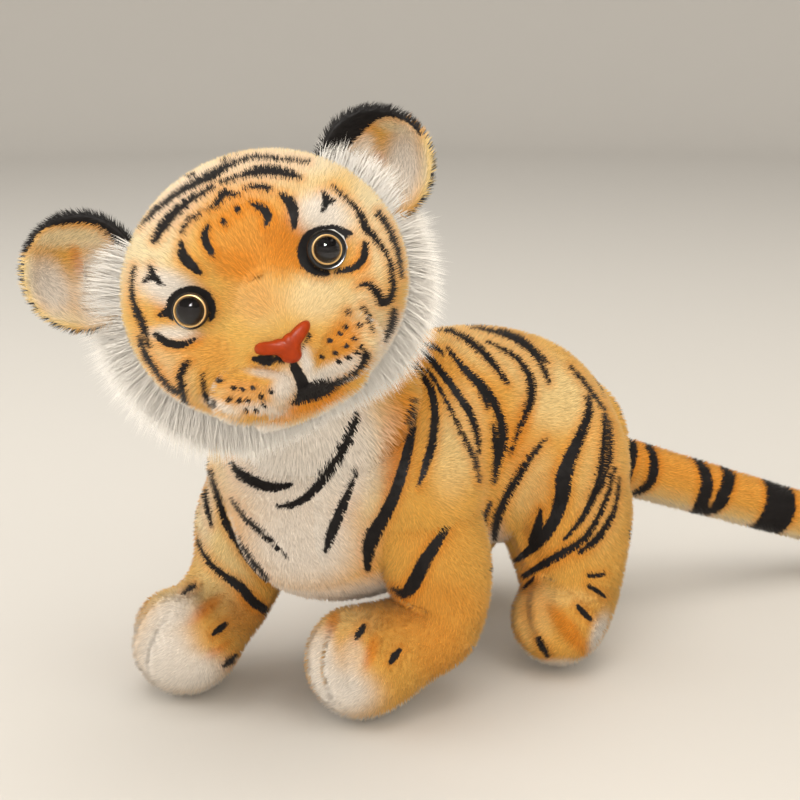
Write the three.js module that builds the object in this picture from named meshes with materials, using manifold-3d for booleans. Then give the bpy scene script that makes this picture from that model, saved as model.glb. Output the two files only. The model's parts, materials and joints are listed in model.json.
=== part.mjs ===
// A standing plush tiger cub, its head turned to its left. Millimetres, +Z up.
// It faces -Y, its left side is +X, its tail goes towards +Y, and its paws stand on z = 0.

import * as THREE from 'three';
import { mergeVertices } from 'three/addons/utils/BufferGeometryUtils.js';
import Module from 'manifold-3d';

const wasm = await Module();
wasm.setup();

// Whole toy
const bodyLength = 196;
const backHeight = 142;
const bodyWidth = 76;
const plush = 2.5; // thickness of the plush fabric
const gap = 0.3; // between pieces that touch
const overrun = 30; // by which a cutter runs past what it cuts
const flatDepth = 0.5; // how far a paw is pressed flat
const chestPanelWidth = 46;

// Neck and head
const neckAside = 2;
const neckAhead = 54;
const neckHeight = 124;
const neckRadius = 34;
const neckLength = 26; // from the body to the middle of the neck ball
const neckBallRadius = 30;
const headAside = 18;
const headAhead = 90;
const headHeight = 175;
const headWidth = 105;
const headTallness = 98;
const headDepth = 96;
const headRimRise = 5; // from the neck ball's middle up to the head's lower edge
const headYaw = 57; // degrees
const headPitch = 10;
const headRoll = 24;

// Face
const padWidth = 32;
const padHeight = 25;
const padDepth = 24;
const chinWidth = 32;
const mouthWidth = 42;
const mouthHeight = 11;
const noseWidth = 22;
const noseHeight = 13.5;
const noseThickness = 5;
const nosePegRadius = 2.2;
const ruffThickness = 28;
const ruffDepth = 32;

// Eyes
const eyeSpacing = 51;
const eyeRadius = 7.8;
const ringRadius = 6.9;
const pupilRadius = 4.8;
const lensHeight = 3.6;
const eyeRimHeight = 1.6;
const ringHeight = 0.9;
const pegRadius = 2.2;
const pegLength = 9;
const washerRadius = 6.5;
const washerThickness = 1.5;

// Ears
const earWidth = 45;
const earTallness = 36;
const earThickness = 15;
const earRootRadius = 1.5;
const earHollowDepth = 5.2;
const earFold = 20; // degrees, either way

// Legs
const legInset = 24; // from the middle of the toy to a leg's flat inner face
const recessClearance = 1;
const shoulderRadius = 27;
const elbowRadius = 19;
const frontPawRadius = 23;
const leftShoulderAhead = 28;
const rightShoulderAhead = 57;
const frontHingeHeight = 86;
const thighRadius = 34;
const hockRadius = 19;
const hindPawRadius = 21;
const hindHingeBehind = 50;
const hindHingeHeight = 78;

// Tail
const tailRadius = 14;
const tailEndRadius = 12;
const tailBehind = 109;
const tailHeight = 66;
const tailBaseLength = 88;
const tailEndLength = 96;
const tailSwing = 24.6; // degrees towards the left side
const tailSlope = 19;
const tailBend = 15; // degrees, either way

const degrees = Math.PI / 180;
const bodySides = 16;
const limbSides = 10;
const eyeSides = 10;
const earSides = 12;
const socketSides = 20;

/** A closed three.js geometry as a solid, with doubled points merged and its faces outwards. */
function solidOf(geometry) {
  geometry.deleteAttribute('normal');
  geometry.deleteAttribute('uv');
  const merged = mergeVertices(geometry, 1e-4);
  const places = merged.getAttribute('position');
  const index = merged.getIndex();
  const corners = [];
  let volume = 0;
  const [a, b, c] = [new THREE.Vector3(), new THREE.Vector3(), new THREE.Vector3()];
  for (let i = 0; i < index.count; i += 3) {
    const three = [index.getX(i), index.getX(i + 1), index.getX(i + 2)];
    if (new Set(three).size < 3) {
      continue;
    }
    corners.push(...three);
    a.fromBufferAttribute(places, three[0]);
    b.fromBufferAttribute(places, three[1]);
    c.fromBufferAttribute(places, three[2]);
    volume += a.dot(b.cross(c));
  }
  if (volume < 0) {
    corners.reverse();
  }
  const mesh = new wasm.Mesh({
    numProp: 3,
    vertProperties: new Float32Array(places.array),
    triVerts: new Uint32Array(corners),
  });
  return new wasm.Manifold(mesh);
}

/** The three.js geometry of a solid. */
function geometryOf(solid) {
  const mesh = solid.getMesh();
  const geometry = new THREE.BufferGeometry();
  geometry.setAttribute('position', new THREE.BufferAttribute(mesh.vertProperties, 3));
  geometry.setIndex(new THREE.BufferAttribute(mesh.triVerts, 1));
  geometry.computeVertexNormals();
  return geometry;
}

/**
 * A stuffed form: oval rings along a line, swelling and tapering, closed by a dome at each end.
 * A station is { at, across, up }: the ring's middle and its two half axes. A dome of no bulge is
 * flat. With grow, the surface moves outwards by that much, or inwards where it is negative.
 */
function stuffedForm(stations, options) {
  const { sides, startBulge = 0, endBulge = 0, grow = 0, domeAngles = [30, 60] } = options;
  const curves = ['at', 'across', 'up'].map(
    (key) => new THREE.CatmullRomCurve3(stations.map((s) => s[key]), false, 'catmullrom', 0.5),
  );
  const count = stations.length - 1;
  const rings = [];
  for (let i = 0; i <= count; i += 1) {
    const [at, across, up] = curves.map((curve) => curve.getPoint(i / count));
    across.setLength(across.length() + grow);
    up.setLength(up.length() + grow);
    rings.push({ at, across, up });
  }
  const domeRings = (ring, outward, bulge) => {
    const reach = bulge + grow;
    return domeAngles.map((angle) => ({
      at: ring.at.clone().addScaledVector(outward, reach * Math.sin(angle * degrees)),
      across: ring.across.clone().multiplyScalar(Math.cos(angle * degrees)),
      up: ring.up.clone().multiplyScalar(Math.cos(angle * degrees)),
    }));
  };
  const outwardAt = (end, next) => {
    const normal = new THREE.Vector3().crossVectors(end.across, end.up).normalize();
    const away = end.at.clone().sub(next.at);
    return normal.dot(away) < 0 ? normal.negate() : normal;
  };
  const first = rings[0];
  const last = rings[count];
  const startOut = outwardAt(first, rings[1]);
  const endOut = outwardAt(last, rings[count - 1]);
  const startPole = first.at.clone().addScaledVector(startOut, startBulge > 0 ? startBulge + grow : 0);
  const endPole = last.at.clone().addScaledVector(endOut, endBulge > 0 ? endBulge + grow : 0);
  if (startBulge > 0) {
    rings.unshift(...domeRings(first, startOut, startBulge).reverse());
  }
  if (endBulge > 0) {
    rings.push(...domeRings(last, endOut, endBulge));
  }
  const points = [];
  for (const ring of rings) {
    for (let k = 0; k < sides; k += 1) {
      const turn = (2 * Math.PI * k) / sides - Math.PI / 2;
      const point = ring.at.clone();
      point.addScaledVector(ring.across, Math.cos(turn));
      point.addScaledVector(ring.up, Math.sin(turn));
      points.push(...point.toArray());
    }
  }
  points.push(...startPole.toArray(), ...endPole.toArray());
  const startIndex = rings.length * sides;
  const index = [];
  for (let k = 0; k < sides; k += 1) {
    const next = (k + 1) % sides;
    index.push(startIndex, next, k);
    for (let r = 0; r + 1 < rings.length; r += 1) {
      const low = r * sides;
      const high = low + sides;
      index.push(low + k, low + next, high + next, low + k, high + next, high + k);
    }
    const top = (rings.length - 1) * sides;
    index.push(top + k, top + next, startIndex + 1);
  }
  const geometry = new THREE.BufferGeometry();
  geometry.setAttribute('position', new THREE.Float32BufferAttribute(points, 3));
  geometry.setIndex(index);
  return solidOf(geometry);
}

/** An oval ball with these half axes, about a middle. */
function ball(halfAxes, middle, sides = 14) {
  const geometry = new THREE.SphereGeometry(1, sides, Math.round(sides / 2));
  geometry.scale(...halfAxes);
  geometry.translate(...middle);
  return solidOf(geometry);
}

/** A round socket whose flat facets all clear a ball of this radius by the gap. */
function socket(radius, middle) {
  const clear = (radius + gap) / Math.cos((180 / socketSides) * degrees) ** 2;
  return ball([clear, clear, clear], middle.toArray(), socketSides);
}

/** A body turned about Z from a profile of [radius, height] points. */
function turned(profile, sides) {
  const geometry = new THREE.LatheGeometry(profile.map(([r, z]) => new THREE.Vector2(r, z)), sides);
  geometry.rotateX(90 * degrees);
  return solidOf(geometry);
}

/** A block between two corners. */
function block(low, high) {
  const size = high.map((value, k) => value - low[k]);
  const geometry = new THREE.BoxGeometry(...size);
  geometry.translate(...high.map((value, k) => (value + low[k]) / 2));
  return solidOf(geometry);
}

/** A large block that fills the space behind a plane, on the side against its normal. */
function behindPlane(point, normal) {
  const reach = bodyLength + backHeight;
  const geometry = new THREE.BoxGeometry(reach, reach, reach);
  geometry.translate(0, 0, -reach / 2);
  const turn = new THREE.Quaternion().setFromUnitVectors(new THREE.Vector3(0, 0, 1), normal);
  geometry.applyQuaternion(turn);
  geometry.translate(...point.toArray());
  return solidOf(geometry);
}

/** A round bar about an axis along X. */
function barAlongX(radius, from, to, sides) {
  const geometry = new THREE.CylinderGeometry(radius, radius, to - from, sides);
  geometry.rotateZ(90 * degrees);
  geometry.translate((from + to) / 2, 0, 0);
  return solidOf(geometry);
}

/** The solid moved by a three.js matrix. */
function moved(solid, matrix) {
  const geometry = geometryOf(solid);
  geometry.applyMatrix4(matrix);
  return solidOf(geometry);
}

const materials = {};

/** A plush or plastic material, one of each name. */
function material(name, colour, roughness) {
  materials[name] = new THREE.MeshStandardMaterial({ name, color: colour, roughness, metalness: 0 });
  return materials[name];
}
const orangePlush = material('orange_plush', 0xe3a04c, 0.9);
const creamPlush = material('cream_plush', 0xe9c987, 0.9);
const whitePlush = material('white_plush', 0xefe8dc, 0.9);
const blackPlush = material('black_plush', 0x1d1a19, 0.9);
const longPile = material('long_pile', 0xf4efe6, 0.95);
const stuffing = material('stuffing', 0xf5f5f0, 1);
const nosePlastic = material('nose_plastic', 0xb9573a, 0.4);
const blackPlastic = material('black_plastic', 0x0c0b0b, 0.15);
const clearPlastic = material('clear_plastic', 0xffffff, 0.05);
const washerPlastic = material('washer_plastic', 0xdedede, 0.5);
const goldRing = material('gold_ring', 0xb08a4a, 0.3);
goldRing.metalness = 0.9;

/** Puts a solid into a group as a named mesh. */
function addPiece(group, name, solid, finish) {
  const mesh = new THREE.Mesh(geometryOf(solid), finish);
  mesh.name = name;
  group.add(mesh);
}

/** A group placed at a point, for the pieces that move together. */
function bodyGroup(name, x, y, z) {
  const group = new THREE.Group();
  group.name = name;
  group.position.set(x, y, z);
  return group;
}

const tiger = new THREE.Group();
tiger.name = 'tiger';

// Body form, whose front is bent to the left. Each row: aside, along, height, tilt, yaw, half width,
// half depth. Tilt and yaw are in degrees. Aside and half width are shares of the body's width, along
// is one of its length, and height and depth are shares of the back's height.
const torsoShares = [
  [0, 0.48, 0.549, 0, 0, 0.33, 0.211],
  [0, 0.367, 0.606, 0, 0, 0.47, 0.296],
  [0, 0.224, 0.648, 0, 0, 0.5, 0.324],
  [0, 0.071, 0.669, 0, 3, 0.51, 0.324],
  [0, -0.112, 0.634, 22, 9, 0.5, 0.373],
  [-0.04, -0.245, 0.648, 40, 15, 0.48, 0.352],
  [-0.04, -0.286, 0.768, 52, 19, 0.43, 0.275],
];
const rumpBulgeShare = 0.1; // of the back's height
const neckPoint = new THREE.Vector3(neckAside, -neckAhead, neckHeight);
const headPoint = new THREE.Vector3(headAside, -headAhead, headHeight);
const neckDirection = headPoint.clone().sub(neckPoint).normalize();
const neckFrame = new THREE.Quaternion().setFromUnitVectors(new THREE.Vector3(0, 0, 1), neckDirection);

/** The body's form, moved outwards by grow. It runs on past the neck's plane. */
function torsoForm(grow) {
  const vertical = new THREE.Vector3(0, 0, 1);
  const stations = torsoShares.map(([aside, along, height, tilt, yaw, width, depth]) => ({
    at: new THREE.Vector3(aside * bodyWidth, along * bodyLength, height * backHeight),
    across: new THREE.Vector3(width * bodyWidth, 0, 0).applyAxisAngle(vertical, yaw * degrees),
    up: new THREE.Vector3(0, Math.sin(tilt * degrees), Math.cos(tilt * degrees))
      .multiplyScalar(depth * backHeight).applyAxisAngle(vertical, yaw * degrees),
  }));
  for (const reach of [0, neckLength]) {
    stations.push({
      at: neckPoint.clone().addScaledVector(neckDirection, reach),
      across: new THREE.Vector3(neckRadius + plush / 2, 0, 0).applyQuaternion(neckFrame),
      up: new THREE.Vector3(0, neckRadius + plush / 2, 0).applyQuaternion(neckFrame),
    });
  }
  const startBulge = rumpBulgeShare * backHeight;
  return stuffedForm(stations, { sides: bodySides, startBulge, grow });
}

/** The space that a leg swings in: a round pocket about its hinge, open downwards along the leg. */
function legRecess(side, hinge, radius, lean) {
  const round = barAlongX(radius, 0, overrun * 2, 2 * limbSides);
  const way = block([0, -radius, -2 * backHeight], [overrun * 2, radius, 0]);
  const matrix = new THREE.Matrix4().makeRotationX(lean);
  const turnedWay = moved(way, matrix);
  const recess = round.add(turnedWay);
  const start = side > 0 ? legInset - gap / 2 : -legInset + gap / 2 - overrun * 2;
  return moved(recess, new THREE.Matrix4().makeTranslation(start, hinge.y, hinge.z));
}

// Legs. A row: outwards from the flat inner face, forwards, down from the hinge, half width, half
// depth. All are shares of the sizes named in frontLeg and hindLeg below.
const hindHinge = new THREE.Vector3(0, hindHingeBehind, hindHingeHeight);
const frontLegs = [
  {
    side: 1,
    name: 'left',
    hinge: new THREE.Vector3(0, -leftShoulderAhead, frontHingeHeight),
    shoulderOutShare: 0.4,
    elbowAheadShare: -0.26,
    pawAheadShare: 1.15,
  },
  {
    side: -1,
    name: 'right',
    hinge: new THREE.Vector3(0, -rightShoulderAhead, frontHingeHeight),
    shoulderOutShare: 0.64,
    elbowAheadShare: 0.62,
    pawAheadShare: 1.7,
  },
];
const elbowDropShare = 0.58; // of the hinge's height
const elbowOutShare = 0.52; // of the shoulder's radius
const frontPawOutShare = 0.24;
const pawLengthShare = 0.5; // of the paw's radius
const shoulderWidthShare = 0.88;
const thighOutShare = 0.15; // of the thigh's radius
const hockOutShare = 0.53;
const hindPawOutShare = 0.66;
const thighWidthShare = 0.92;
const hockDropShare = 0.6; // of the hinge's height
const hindPawAheadShare = 0.44; // of the thigh's radius
const kneeDropShare = 0.6; // of the hock's drop

/** Makes the stations of a leg on one side. Those of the upper leg lie flat, those of the paw stand. */
function legRing(side) {
  return (out, ahead, drop, width, depth, flat) => ({
    at: new THREE.Vector3(side * out, -ahead, -drop),
    across: new THREE.Vector3(width, 0, 0),
    up: flat ? new THREE.Vector3(0, depth, 0) : new THREE.Vector3(0, 0, depth),
  });
}

/** The upper and lower stuffed forms of a front leg, about its hinge. */
function frontLegForm(leg, grow) {
  const elbowAhead = leg.elbowAheadShare * shoulderRadius;
  const pawAhead = leg.pawAheadShare * shoulderRadius;
  const elbowDrop = elbowDropShare * frontHingeHeight;
  const ring = legRing(leg.side);
  const shoulderOut = leg.shoulderOutShare * shoulderRadius;
  const elbowOut = elbowOutShare * shoulderRadius;
  const pawOut = frontPawOutShare * shoulderRadius;
  const middleRadius = (shoulderRadius + elbowRadius) / 2;
  const upper = stuffedForm([
    ring(shoulderOut, 0, 0, shoulderWidthShare * shoulderRadius, shoulderRadius, true),
    ring((shoulderOut + elbowOut) / 2, elbowAhead / 2, elbowDrop / 2, middleRadius - plush,
      middleRadius, true),
    ring(elbowOut, elbowAhead, elbowDrop, elbowRadius, elbowRadius, true),
  ], { sides: limbSides, startBulge: shoulderRadius, endBulge: elbowRadius, grow });
  const pawDrop = frontHingeHeight - frontPawRadius + flatDepth;
  const lower = stuffedForm([
    ring(elbowOut, elbowAhead, elbowDrop, elbowRadius - plush / 2, elbowRadius - plush / 2, false),
    ring((elbowOut + pawOut) / 2, (elbowAhead + pawAhead) / 2, (elbowDrop + pawDrop) / 2,
      elbowRadius, elbowRadius, false),
    ring(pawOut, pawAhead - pawLengthShare * frontPawRadius, pawDrop, frontPawRadius, frontPawRadius,
      false),
    ring(pawOut, pawAhead, pawDrop, frontPawRadius, frontPawRadius, false),
  ], { sides: limbSides, endBulge: frontPawRadius, grow });
  return { upper, lower };
}

/** The upper and lower stuffed forms of a hind leg, about its hinge. */
function hindLegForm(leg, grow) {
  const ring = legRing(leg.side);
  const thighOut = thighOutShare * thighRadius;
  const hockOut = hockOutShare * thighRadius;
  const pawOut = hindPawOutShare * thighRadius;
  const hockDrop = hockDropShare * hindHingeHeight;
  const middleRadius = (thighRadius + hockRadius) / 2;
  const upper = stuffedForm([
    ring(thighOut, 0, 0, thighWidthShare * thighRadius, thighRadius, true),
    ring((thighOut + hockOut) / 2, 0, kneeDropShare * hockDrop, middleRadius - plush,
      middleRadius - plush, true),
    ring(hockOut, 0, hockDrop, hockRadius, hockRadius, true),
  ], { sides: limbSides, startBulge: thighRadius, endBulge: hockRadius, grow });
  const pawDrop = hindHingeHeight - hindPawRadius + flatDepth;
  const heelDrop = hindHingeHeight - hockRadius + flatDepth;
  const pawAhead = hindPawAheadShare * thighRadius;
  const lower = stuffedForm([
    ring(hockOut, 0, heelDrop, hockRadius, hockRadius, false),
    ring(pawOut, pawAhead, pawDrop, hindPawRadius, hindPawRadius, false),
  ], { sides: limbSides, startBulge: hockRadius, endBulge: hindPawRadius, grow, domeAngles: [45] });
  return { upper, lower };
}

/** A leg's outer and inner panels and its stuffing, in a group at its hinge. */
function addLeg(leg, name, hinge, form, seamOut) {
  const group = bodyGroup(name, leg.side * legInset, hinge.y, hinge.z);
  const outwards = new THREE.Vector3(leg.side, 0, 0);
  const inside = behindPlane(new THREE.Vector3((leg.side * gap) / 2, 0, 0), outwards);
  const floor = behindPlane(new THREE.Vector3(0, 0, -hinge.z), new THREE.Vector3(0, 0, 1));
  const whole = (grow) => {
    const { upper, lower } = form(leg, grow);
    return upper.subtract(inside).add(lower).subtract(floor);
  };
  const core = (grow) => {
    const { upper, lower } = form(leg, grow);
    const floorInside = behindPlane(
      new THREE.Vector3(0, 0, -hinge.z - grow), new THREE.Vector3(0, 0, 1),
    );
    return upper.add(lower).subtract(floorInside);
  };
  const skin = whole(0).subtract(core(-plush));
  const seam = (offset) => behindPlane(
    new THREE.Vector3(leg.side * (seamOut + offset), 0, 0), outwards,
  );
  addPiece(group, `${name}_outer`, skin.subtract(seam(gap / 2)), orangePlush);
  addPiece(group, `${name}_inner`, skin.intersect(seam(-gap / 2)), creamPlush);
  addPiece(group, `${name}_stuffing`, core(-plush - gap).subtract(inside), stuffing);
  tiger.add(group);
}
for (const leg of frontLegs) {
  addLeg(leg, `front_leg_${leg.name}`, leg.hinge, frontLegForm, elbowOutShare * shoulderRadius);
}
for (const leg of frontLegs) {
  addLeg(leg, `hind_leg_${leg.name}`, hindHinge, hindLegForm, hockOutShare * thighRadius);
}

// Tail: two stuffed lengths, each rounded at its front end, which sits in a shallow cup.
const tailRoot = new THREE.Vector3(0, tailBehind, tailHeight);
const tailTurn = new THREE.Euler(-tailSlope * degrees, 0, -tailSwing * degrees, 'ZXY');
const tailBendSetback = tailEndRadius * Math.sin(tailBend * degrees) + 2 * gap;

/** A length of tail along +Y from its own pivot. */
function tailForm(length, startRadius, endRadius, endBulge, grow) {
  const ring = (y, radius) => ({
    at: new THREE.Vector3(0, y, 0),
    across: new THREE.Vector3(radius, 0, 0),
    up: new THREE.Vector3(0, 0, radius),
  });
  const middle = (startRadius + endRadius) / 2;
  return stuffedForm([ring(0, startRadius), ring(length / 2, middle), ring(length, endRadius)],
    { sides: limbSides, startBulge: startRadius, endBulge, grow });
}
const tailBase = bodyGroup('tail_base', ...tailRoot.toArray());
tailBase.rotation.copy(tailTurn);
const tailEnd = bodyGroup('tail_end', 0, tailBaseLength, 0);
const tailCup = socket(tailEndRadius, new THREE.Vector3(0, tailBaseLength, 0));
const baseLength = tailBaseLength - tailBendSetback;
const baseSkin = tailForm(baseLength, tailRadius, tailEndRadius + plush / 2, 0, 0)
  .subtract(tailForm(baseLength + overrun, tailRadius, tailEndRadius + plush / 2, 0, -plush))
  .subtract(tailCup);
const baseCore = tailForm(baseLength, tailRadius, tailEndRadius + plush / 2, 0, -plush - gap)
  .subtract(tailCup);
const endSkin = tailForm(tailEndLength - tailEndRadius, tailEndRadius, tailEndRadius - plush / 2,
  tailEndRadius - plush / 2, 0);
const endHollow = tailForm(tailEndLength - tailEndRadius, tailEndRadius, tailEndRadius - plush / 2,
  tailEndRadius - plush / 2, -plush);
const endCore = tailForm(tailEndLength - tailEndRadius, tailEndRadius, tailEndRadius - plush / 2,
  tailEndRadius - plush / 2, -plush - gap);
const closingSlit = block([-gap, tailEndLength / 3, -overrun], [gap, tailEndLength / 2, 0]);
addPiece(tailBase, 'tail_base_skin', baseSkin, orangePlush);
addPiece(tailBase, 'tail_base_stuffing', baseCore, stuffing);
addPiece(tailEnd, 'tail_end_skin', endSkin.subtract(endHollow).subtract(closingSlit), orangePlush);
addPiece(tailEnd, 'tail_end_stuffing', endCore, stuffing);
tailBase.add(tailEnd);
tiger.add(tailBase);

// Body: side panels, chest and belly panel, and stuffing, with room for the legs and the tail.
const frontLean = (leg) => Math.atan2(
  leg.elbowAheadShare * shoulderRadius, elbowDropShare * frontHingeHeight,
);
let bodyRoom = socket(tailRadius, tailRoot);
for (const leg of frontLegs) {
  const frontRoom = legRecess(leg.side, leg.hinge, shoulderRadius + recessClearance, -frontLean(leg));
  const hindRoom = legRecess(leg.side, hindHinge, thighRadius + recessClearance, 0);
  bodyRoom = bodyRoom.add(frontRoom).add(hindRoom);
}
const belowNeck = behindPlane(neckPoint, neckDirection);
const bodySkin = torsoForm(0).subtract(torsoForm(-plush)).intersect(belowNeck).subtract(bodyRoom);
const chestPanelShares = [
  [-0.22, 1.1],
  [-0.26, 0.56],
  [-0.12, 0.42],
  [0.4, 0.42],
  [0.4, -0.2],
  [-0.7, -0.2],
  [-0.7, 1.1],
];

/** The space of the chest and belly panel, as an outline seen from the side, carried across. */
function chestSpace(grow) {
  const outline = new THREE.Shape(chestPanelShares.map(
    ([along, height]) => new THREE.Vector2(along * bodyLength, height * backHeight),
  ));
  const width = chestPanelWidth + 2 * grow;
  const geometry = new THREE.ExtrudeGeometry(outline, { depth: width, bevelEnabled: false });
  geometry.applyMatrix4(new THREE.Matrix4().makeBasis(
    new THREE.Vector3(0, 1, 0), new THREE.Vector3(0, 0, 1), new THREE.Vector3(1, 0, 0),
  ));
  geometry.translate(-width / 2, 0, 0);
  const solid = solidOf(geometry);
  return grow > 0 ? solid.add(moved(solid, new THREE.Matrix4().makeTranslation(0, grow, grow))) : solid;
}
const leftHalf = (offset) => behindPlane(new THREE.Vector3(offset, 0, 0), new THREE.Vector3(-1, 0, 0));
const rightHalf = (offset) => behindPlane(new THREE.Vector3(offset, 0, 0), new THREE.Vector3(1, 0, 0));
const sides = bodySkin.subtract(chestSpace(gap));
const torso = bodyGroup('body', 0, 0, 0);
addPiece(torso, 'body_side_left', sides.intersect(leftHalf(gap / 2)), orangePlush);
addPiece(torso, 'body_side_right', sides.intersect(rightHalf(-gap / 2)), orangePlush);
addPiece(torso, 'chest_belly_panel', bodySkin.intersect(chestSpace(0)), whitePlush);
addPiece(torso, 'body_stuffing', torsoForm(-plush - gap).intersect(belowNeck).subtract(bodyRoom), stuffing);
tiger.add(torso);

// Neck: a plush sleeve on the body's front end, with a round stuffed top that the head sits on.
const neckProfile = (grow, foot) => {
  const radius = neckBallRadius + grow;
  const points = [[0, foot], [neckRadius + grow, foot]];
  if (foot < gap) {
    points.push([neckRadius + grow, gap]);
  }
  for (const angle of [-15, 5, 25, 48, 70]) {
    points.push([radius * Math.cos(angle * degrees), neckLength + radius * Math.sin(angle * degrees)]);
  }
  points.push([0, neckLength + radius]);
  return points;
};
const neckGroup = bodyGroup('neck', ...neckPoint.toArray());
neckGroup.quaternion.copy(neckFrame);
const neckOuter = turned(neckProfile(0, gap), bodySides);
const neckInner = turned(neckProfile(-plush, -overrun), bodySides);
addPiece(neckGroup, 'neck_sleeve', neckOuter.subtract(neckInner), creamPlush);
addPiece(neckGroup, 'neck_stuffing', turned(neckProfile(-plush - gap, gap), bodySides), stuffing);
tiger.add(neckGroup);

// Head, in its own frame: it faces -Y, its left is +X, and its middle is the origin.
const headTurn = new THREE.Quaternion().setFromEuler(
  new THREE.Euler(-headPitch * degrees, -headRoll * degrees, headYaw * degrees, 'ZXY'),
);
const headPivot = neckPoint.clone().addScaledVector(neckDirection, neckLength);
const backToHead = headTurn.clone().invert();
const pivotInHead = headPivot.clone().sub(headPoint).applyQuaternion(backToHead);
const neckInHead = neckDirection.clone().applyQuaternion(backToHead);

// Rows from back to front: along, height, half width, half height, as shares of the head's depth,
// tallness and width.
const skullShares = [
  [0.46, 0.02, 0.24, 0.24],
  [0.31, 0.02, 0.4, 0.39],
  [0.08, 0.01, 0.49, 0.49],
  [-0.15, 0, 0.5, 0.5],
  [-0.33, -0.03, 0.43, 0.43],
  [-0.45, -0.1, 0.3, 0.33],
  [-0.53, -0.2, 0.18, 0.2],
];
const backBulgeShare = 0.08; // of the head's depth
const muzzleBulgeShare = 0.06;

/** The head's form, moved outwards by grow. */
function skullForm(grow) {
  const stations = skullShares.map(([along, height, width, tallness]) => ({
    at: new THREE.Vector3(0, along * headDepth, height * headTallness),
    across: new THREE.Vector3(width * headWidth, 0, 0),
    up: new THREE.Vector3(0, 0, tallness * headTallness),
  }));
  return stuffedForm(stations, {
    sides: bodySides,
    startBulge: backBulgeShare * headDepth,
    endBulge: muzzleBulgeShare * headDepth,
    grow,
  });
}
const skull = skullForm(0);
const skullMesh = new THREE.Mesh(
  geometryOf(skull), new THREE.MeshBasicMaterial({ side: THREE.DoubleSide }),
);

/** Where a line from a point in a direction leaves the head, and the way the surface faces there. */
function seatOnHead(from, direction) {
  const line = new THREE.Raycaster(from, direction.clone().normalize());
  const hits = line.intersectObject(skullMesh);
  const hit = hits[hits.length - 1];
  const normal = hit.face.normal.clone();
  return { point: hit.point, normal: normal.dot(direction) < 0 ? normal.negate() : normal };
}
const headGroup = bodyGroup('head', ...headPivot.toArray());
headGroup.quaternion.copy(headTurn);
const headMiddle = pivotInHead.clone().negate();

/** Puts a piece given about the head's middle into a group that turns about its own point. */
function addToHead(name, solid, finish) {
  addPiece(headGroup, name, solid, finish);
  headGroup.children[headGroup.children.length - 1].position.copy(headMiddle);
}
const headRim = pivotInHead.clone().addScaledVector(neckInHead, headRimRise);
const neckRoom = socket(neckBallRadius, pivotInHead).add(behindPlane(headRim, neckInHead));

// Eyes: a black cup on a peg, a gold ring, a pupil and a clear dome, with a washer inside the head.
const faceSides = [
  { side: 1, name: 'left' },
  { side: -1, name: 'right' },
];
const eyeHeightShare = 0.037; // of the head's tallness
const eyeOutwardsShare = 0.3;
const cupDepth = eyeRimHeight + ringHeight;
const washerSeat = plush + gap + washerThickness;

/** An eye's parts, turned about its own axis with the plush surface at height 0. */
function eyeParts() {
  const cup = turned([
    [0, -pegLength],
    [pegRadius, -pegLength],
    [pegRadius, 0],
    [eyeRadius, gap],
    [eyeRadius, eyeRimHeight],
    [ringRadius + gap, cupDepth],
    [ringRadius + gap, eyeRimHeight],
    [0, eyeRimHeight],
  ], eyeSides);
  const ring = turned([
    [pupilRadius + gap, eyeRimHeight + gap],
    [ringRadius, eyeRimHeight + gap],
    [ringRadius, eyeRimHeight + gap + ringHeight],
    [pupilRadius + gap, eyeRimHeight + gap + ringHeight],
    [pupilRadius + gap, eyeRimHeight + gap],
  ], eyeSides);
  const pupil = turned([
    [0, eyeRimHeight + gap],
    [pupilRadius, eyeRimHeight + gap],
    [pupilRadius, eyeRimHeight + gap + ringHeight],
    [0, eyeRimHeight + gap + ringHeight],
  ], eyeSides);
  const lensFoot = eyeRimHeight + ringHeight + 2 * gap;
  const lens = turned([
    [0, lensFoot],
    [ringRadius, lensFoot],
    [ringRadius * Math.cos(25 * degrees), lensFoot + lensHeight * Math.sin(25 * degrees)],
    [ringRadius * Math.cos(55 * degrees), lensFoot + lensHeight * Math.sin(55 * degrees)],
    [0, lensFoot + lensHeight],
  ], eyeSides);
  const washer = turned([
    [pegRadius + gap, -washerSeat - washerThickness],
    [washerRadius, -washerSeat - washerThickness],
    [washerRadius, -washerSeat],
    [pegRadius + gap, -washerSeat],
    [pegRadius + gap, -washerSeat - washerThickness],
  ], eyeSides);
  const room = turned([
    [0, -pegLength - gap],
    [pegRadius + gap, -pegLength - gap],
    [pegRadius + gap, -washerSeat - washerThickness - gap],
    [washerRadius + gap, -washerSeat - washerThickness - gap],
    [washerRadius + gap, -washerSeat + gap],
    [pegRadius + gap, -washerSeat + gap],
    [pegRadius + gap, 0],
    [eyeRadius + gap, 0],
    [eyeRadius + gap, overrun],
    [0, overrun],
  ], eyeSides);
  return { cup, ring, pupil, lens, washer, room };
}
const eyeFinish = {
  cup: blackPlastic,
  ring: goldRing,
  pupil: blackPlastic,
  lens: clearPlastic,
  washer: washerPlastic,
};
let faceRoom = neckRoom;
for (const eye of faceSides) {
  const forward = new THREE.Vector3(0, -1, 0);
  const from = new THREE.Vector3((eye.side * eyeSpacing) / 2, 0, eyeHeightShare * headTallness);
  const seat = seatOnHead(from, forward);
  const facing = forward.clone().lerp(seat.normal, eyeOutwardsShare).normalize();
  const turn = new THREE.Quaternion().setFromUnitVectors(new THREE.Vector3(0, 0, 1), facing);
  const place = new THREE.Matrix4().compose(seat.point, turn, new THREE.Vector3(1, 1, 1));
  const { room, ...parts } = eyeParts();
  for (const [part, solid] of Object.entries(parts)) {
    addToHead(`eye_${part}_${eye.name}`, moved(solid, place), eyeFinish[part]);
  }
  faceRoom = faceRoom.add(moved(room, place));
}

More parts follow.
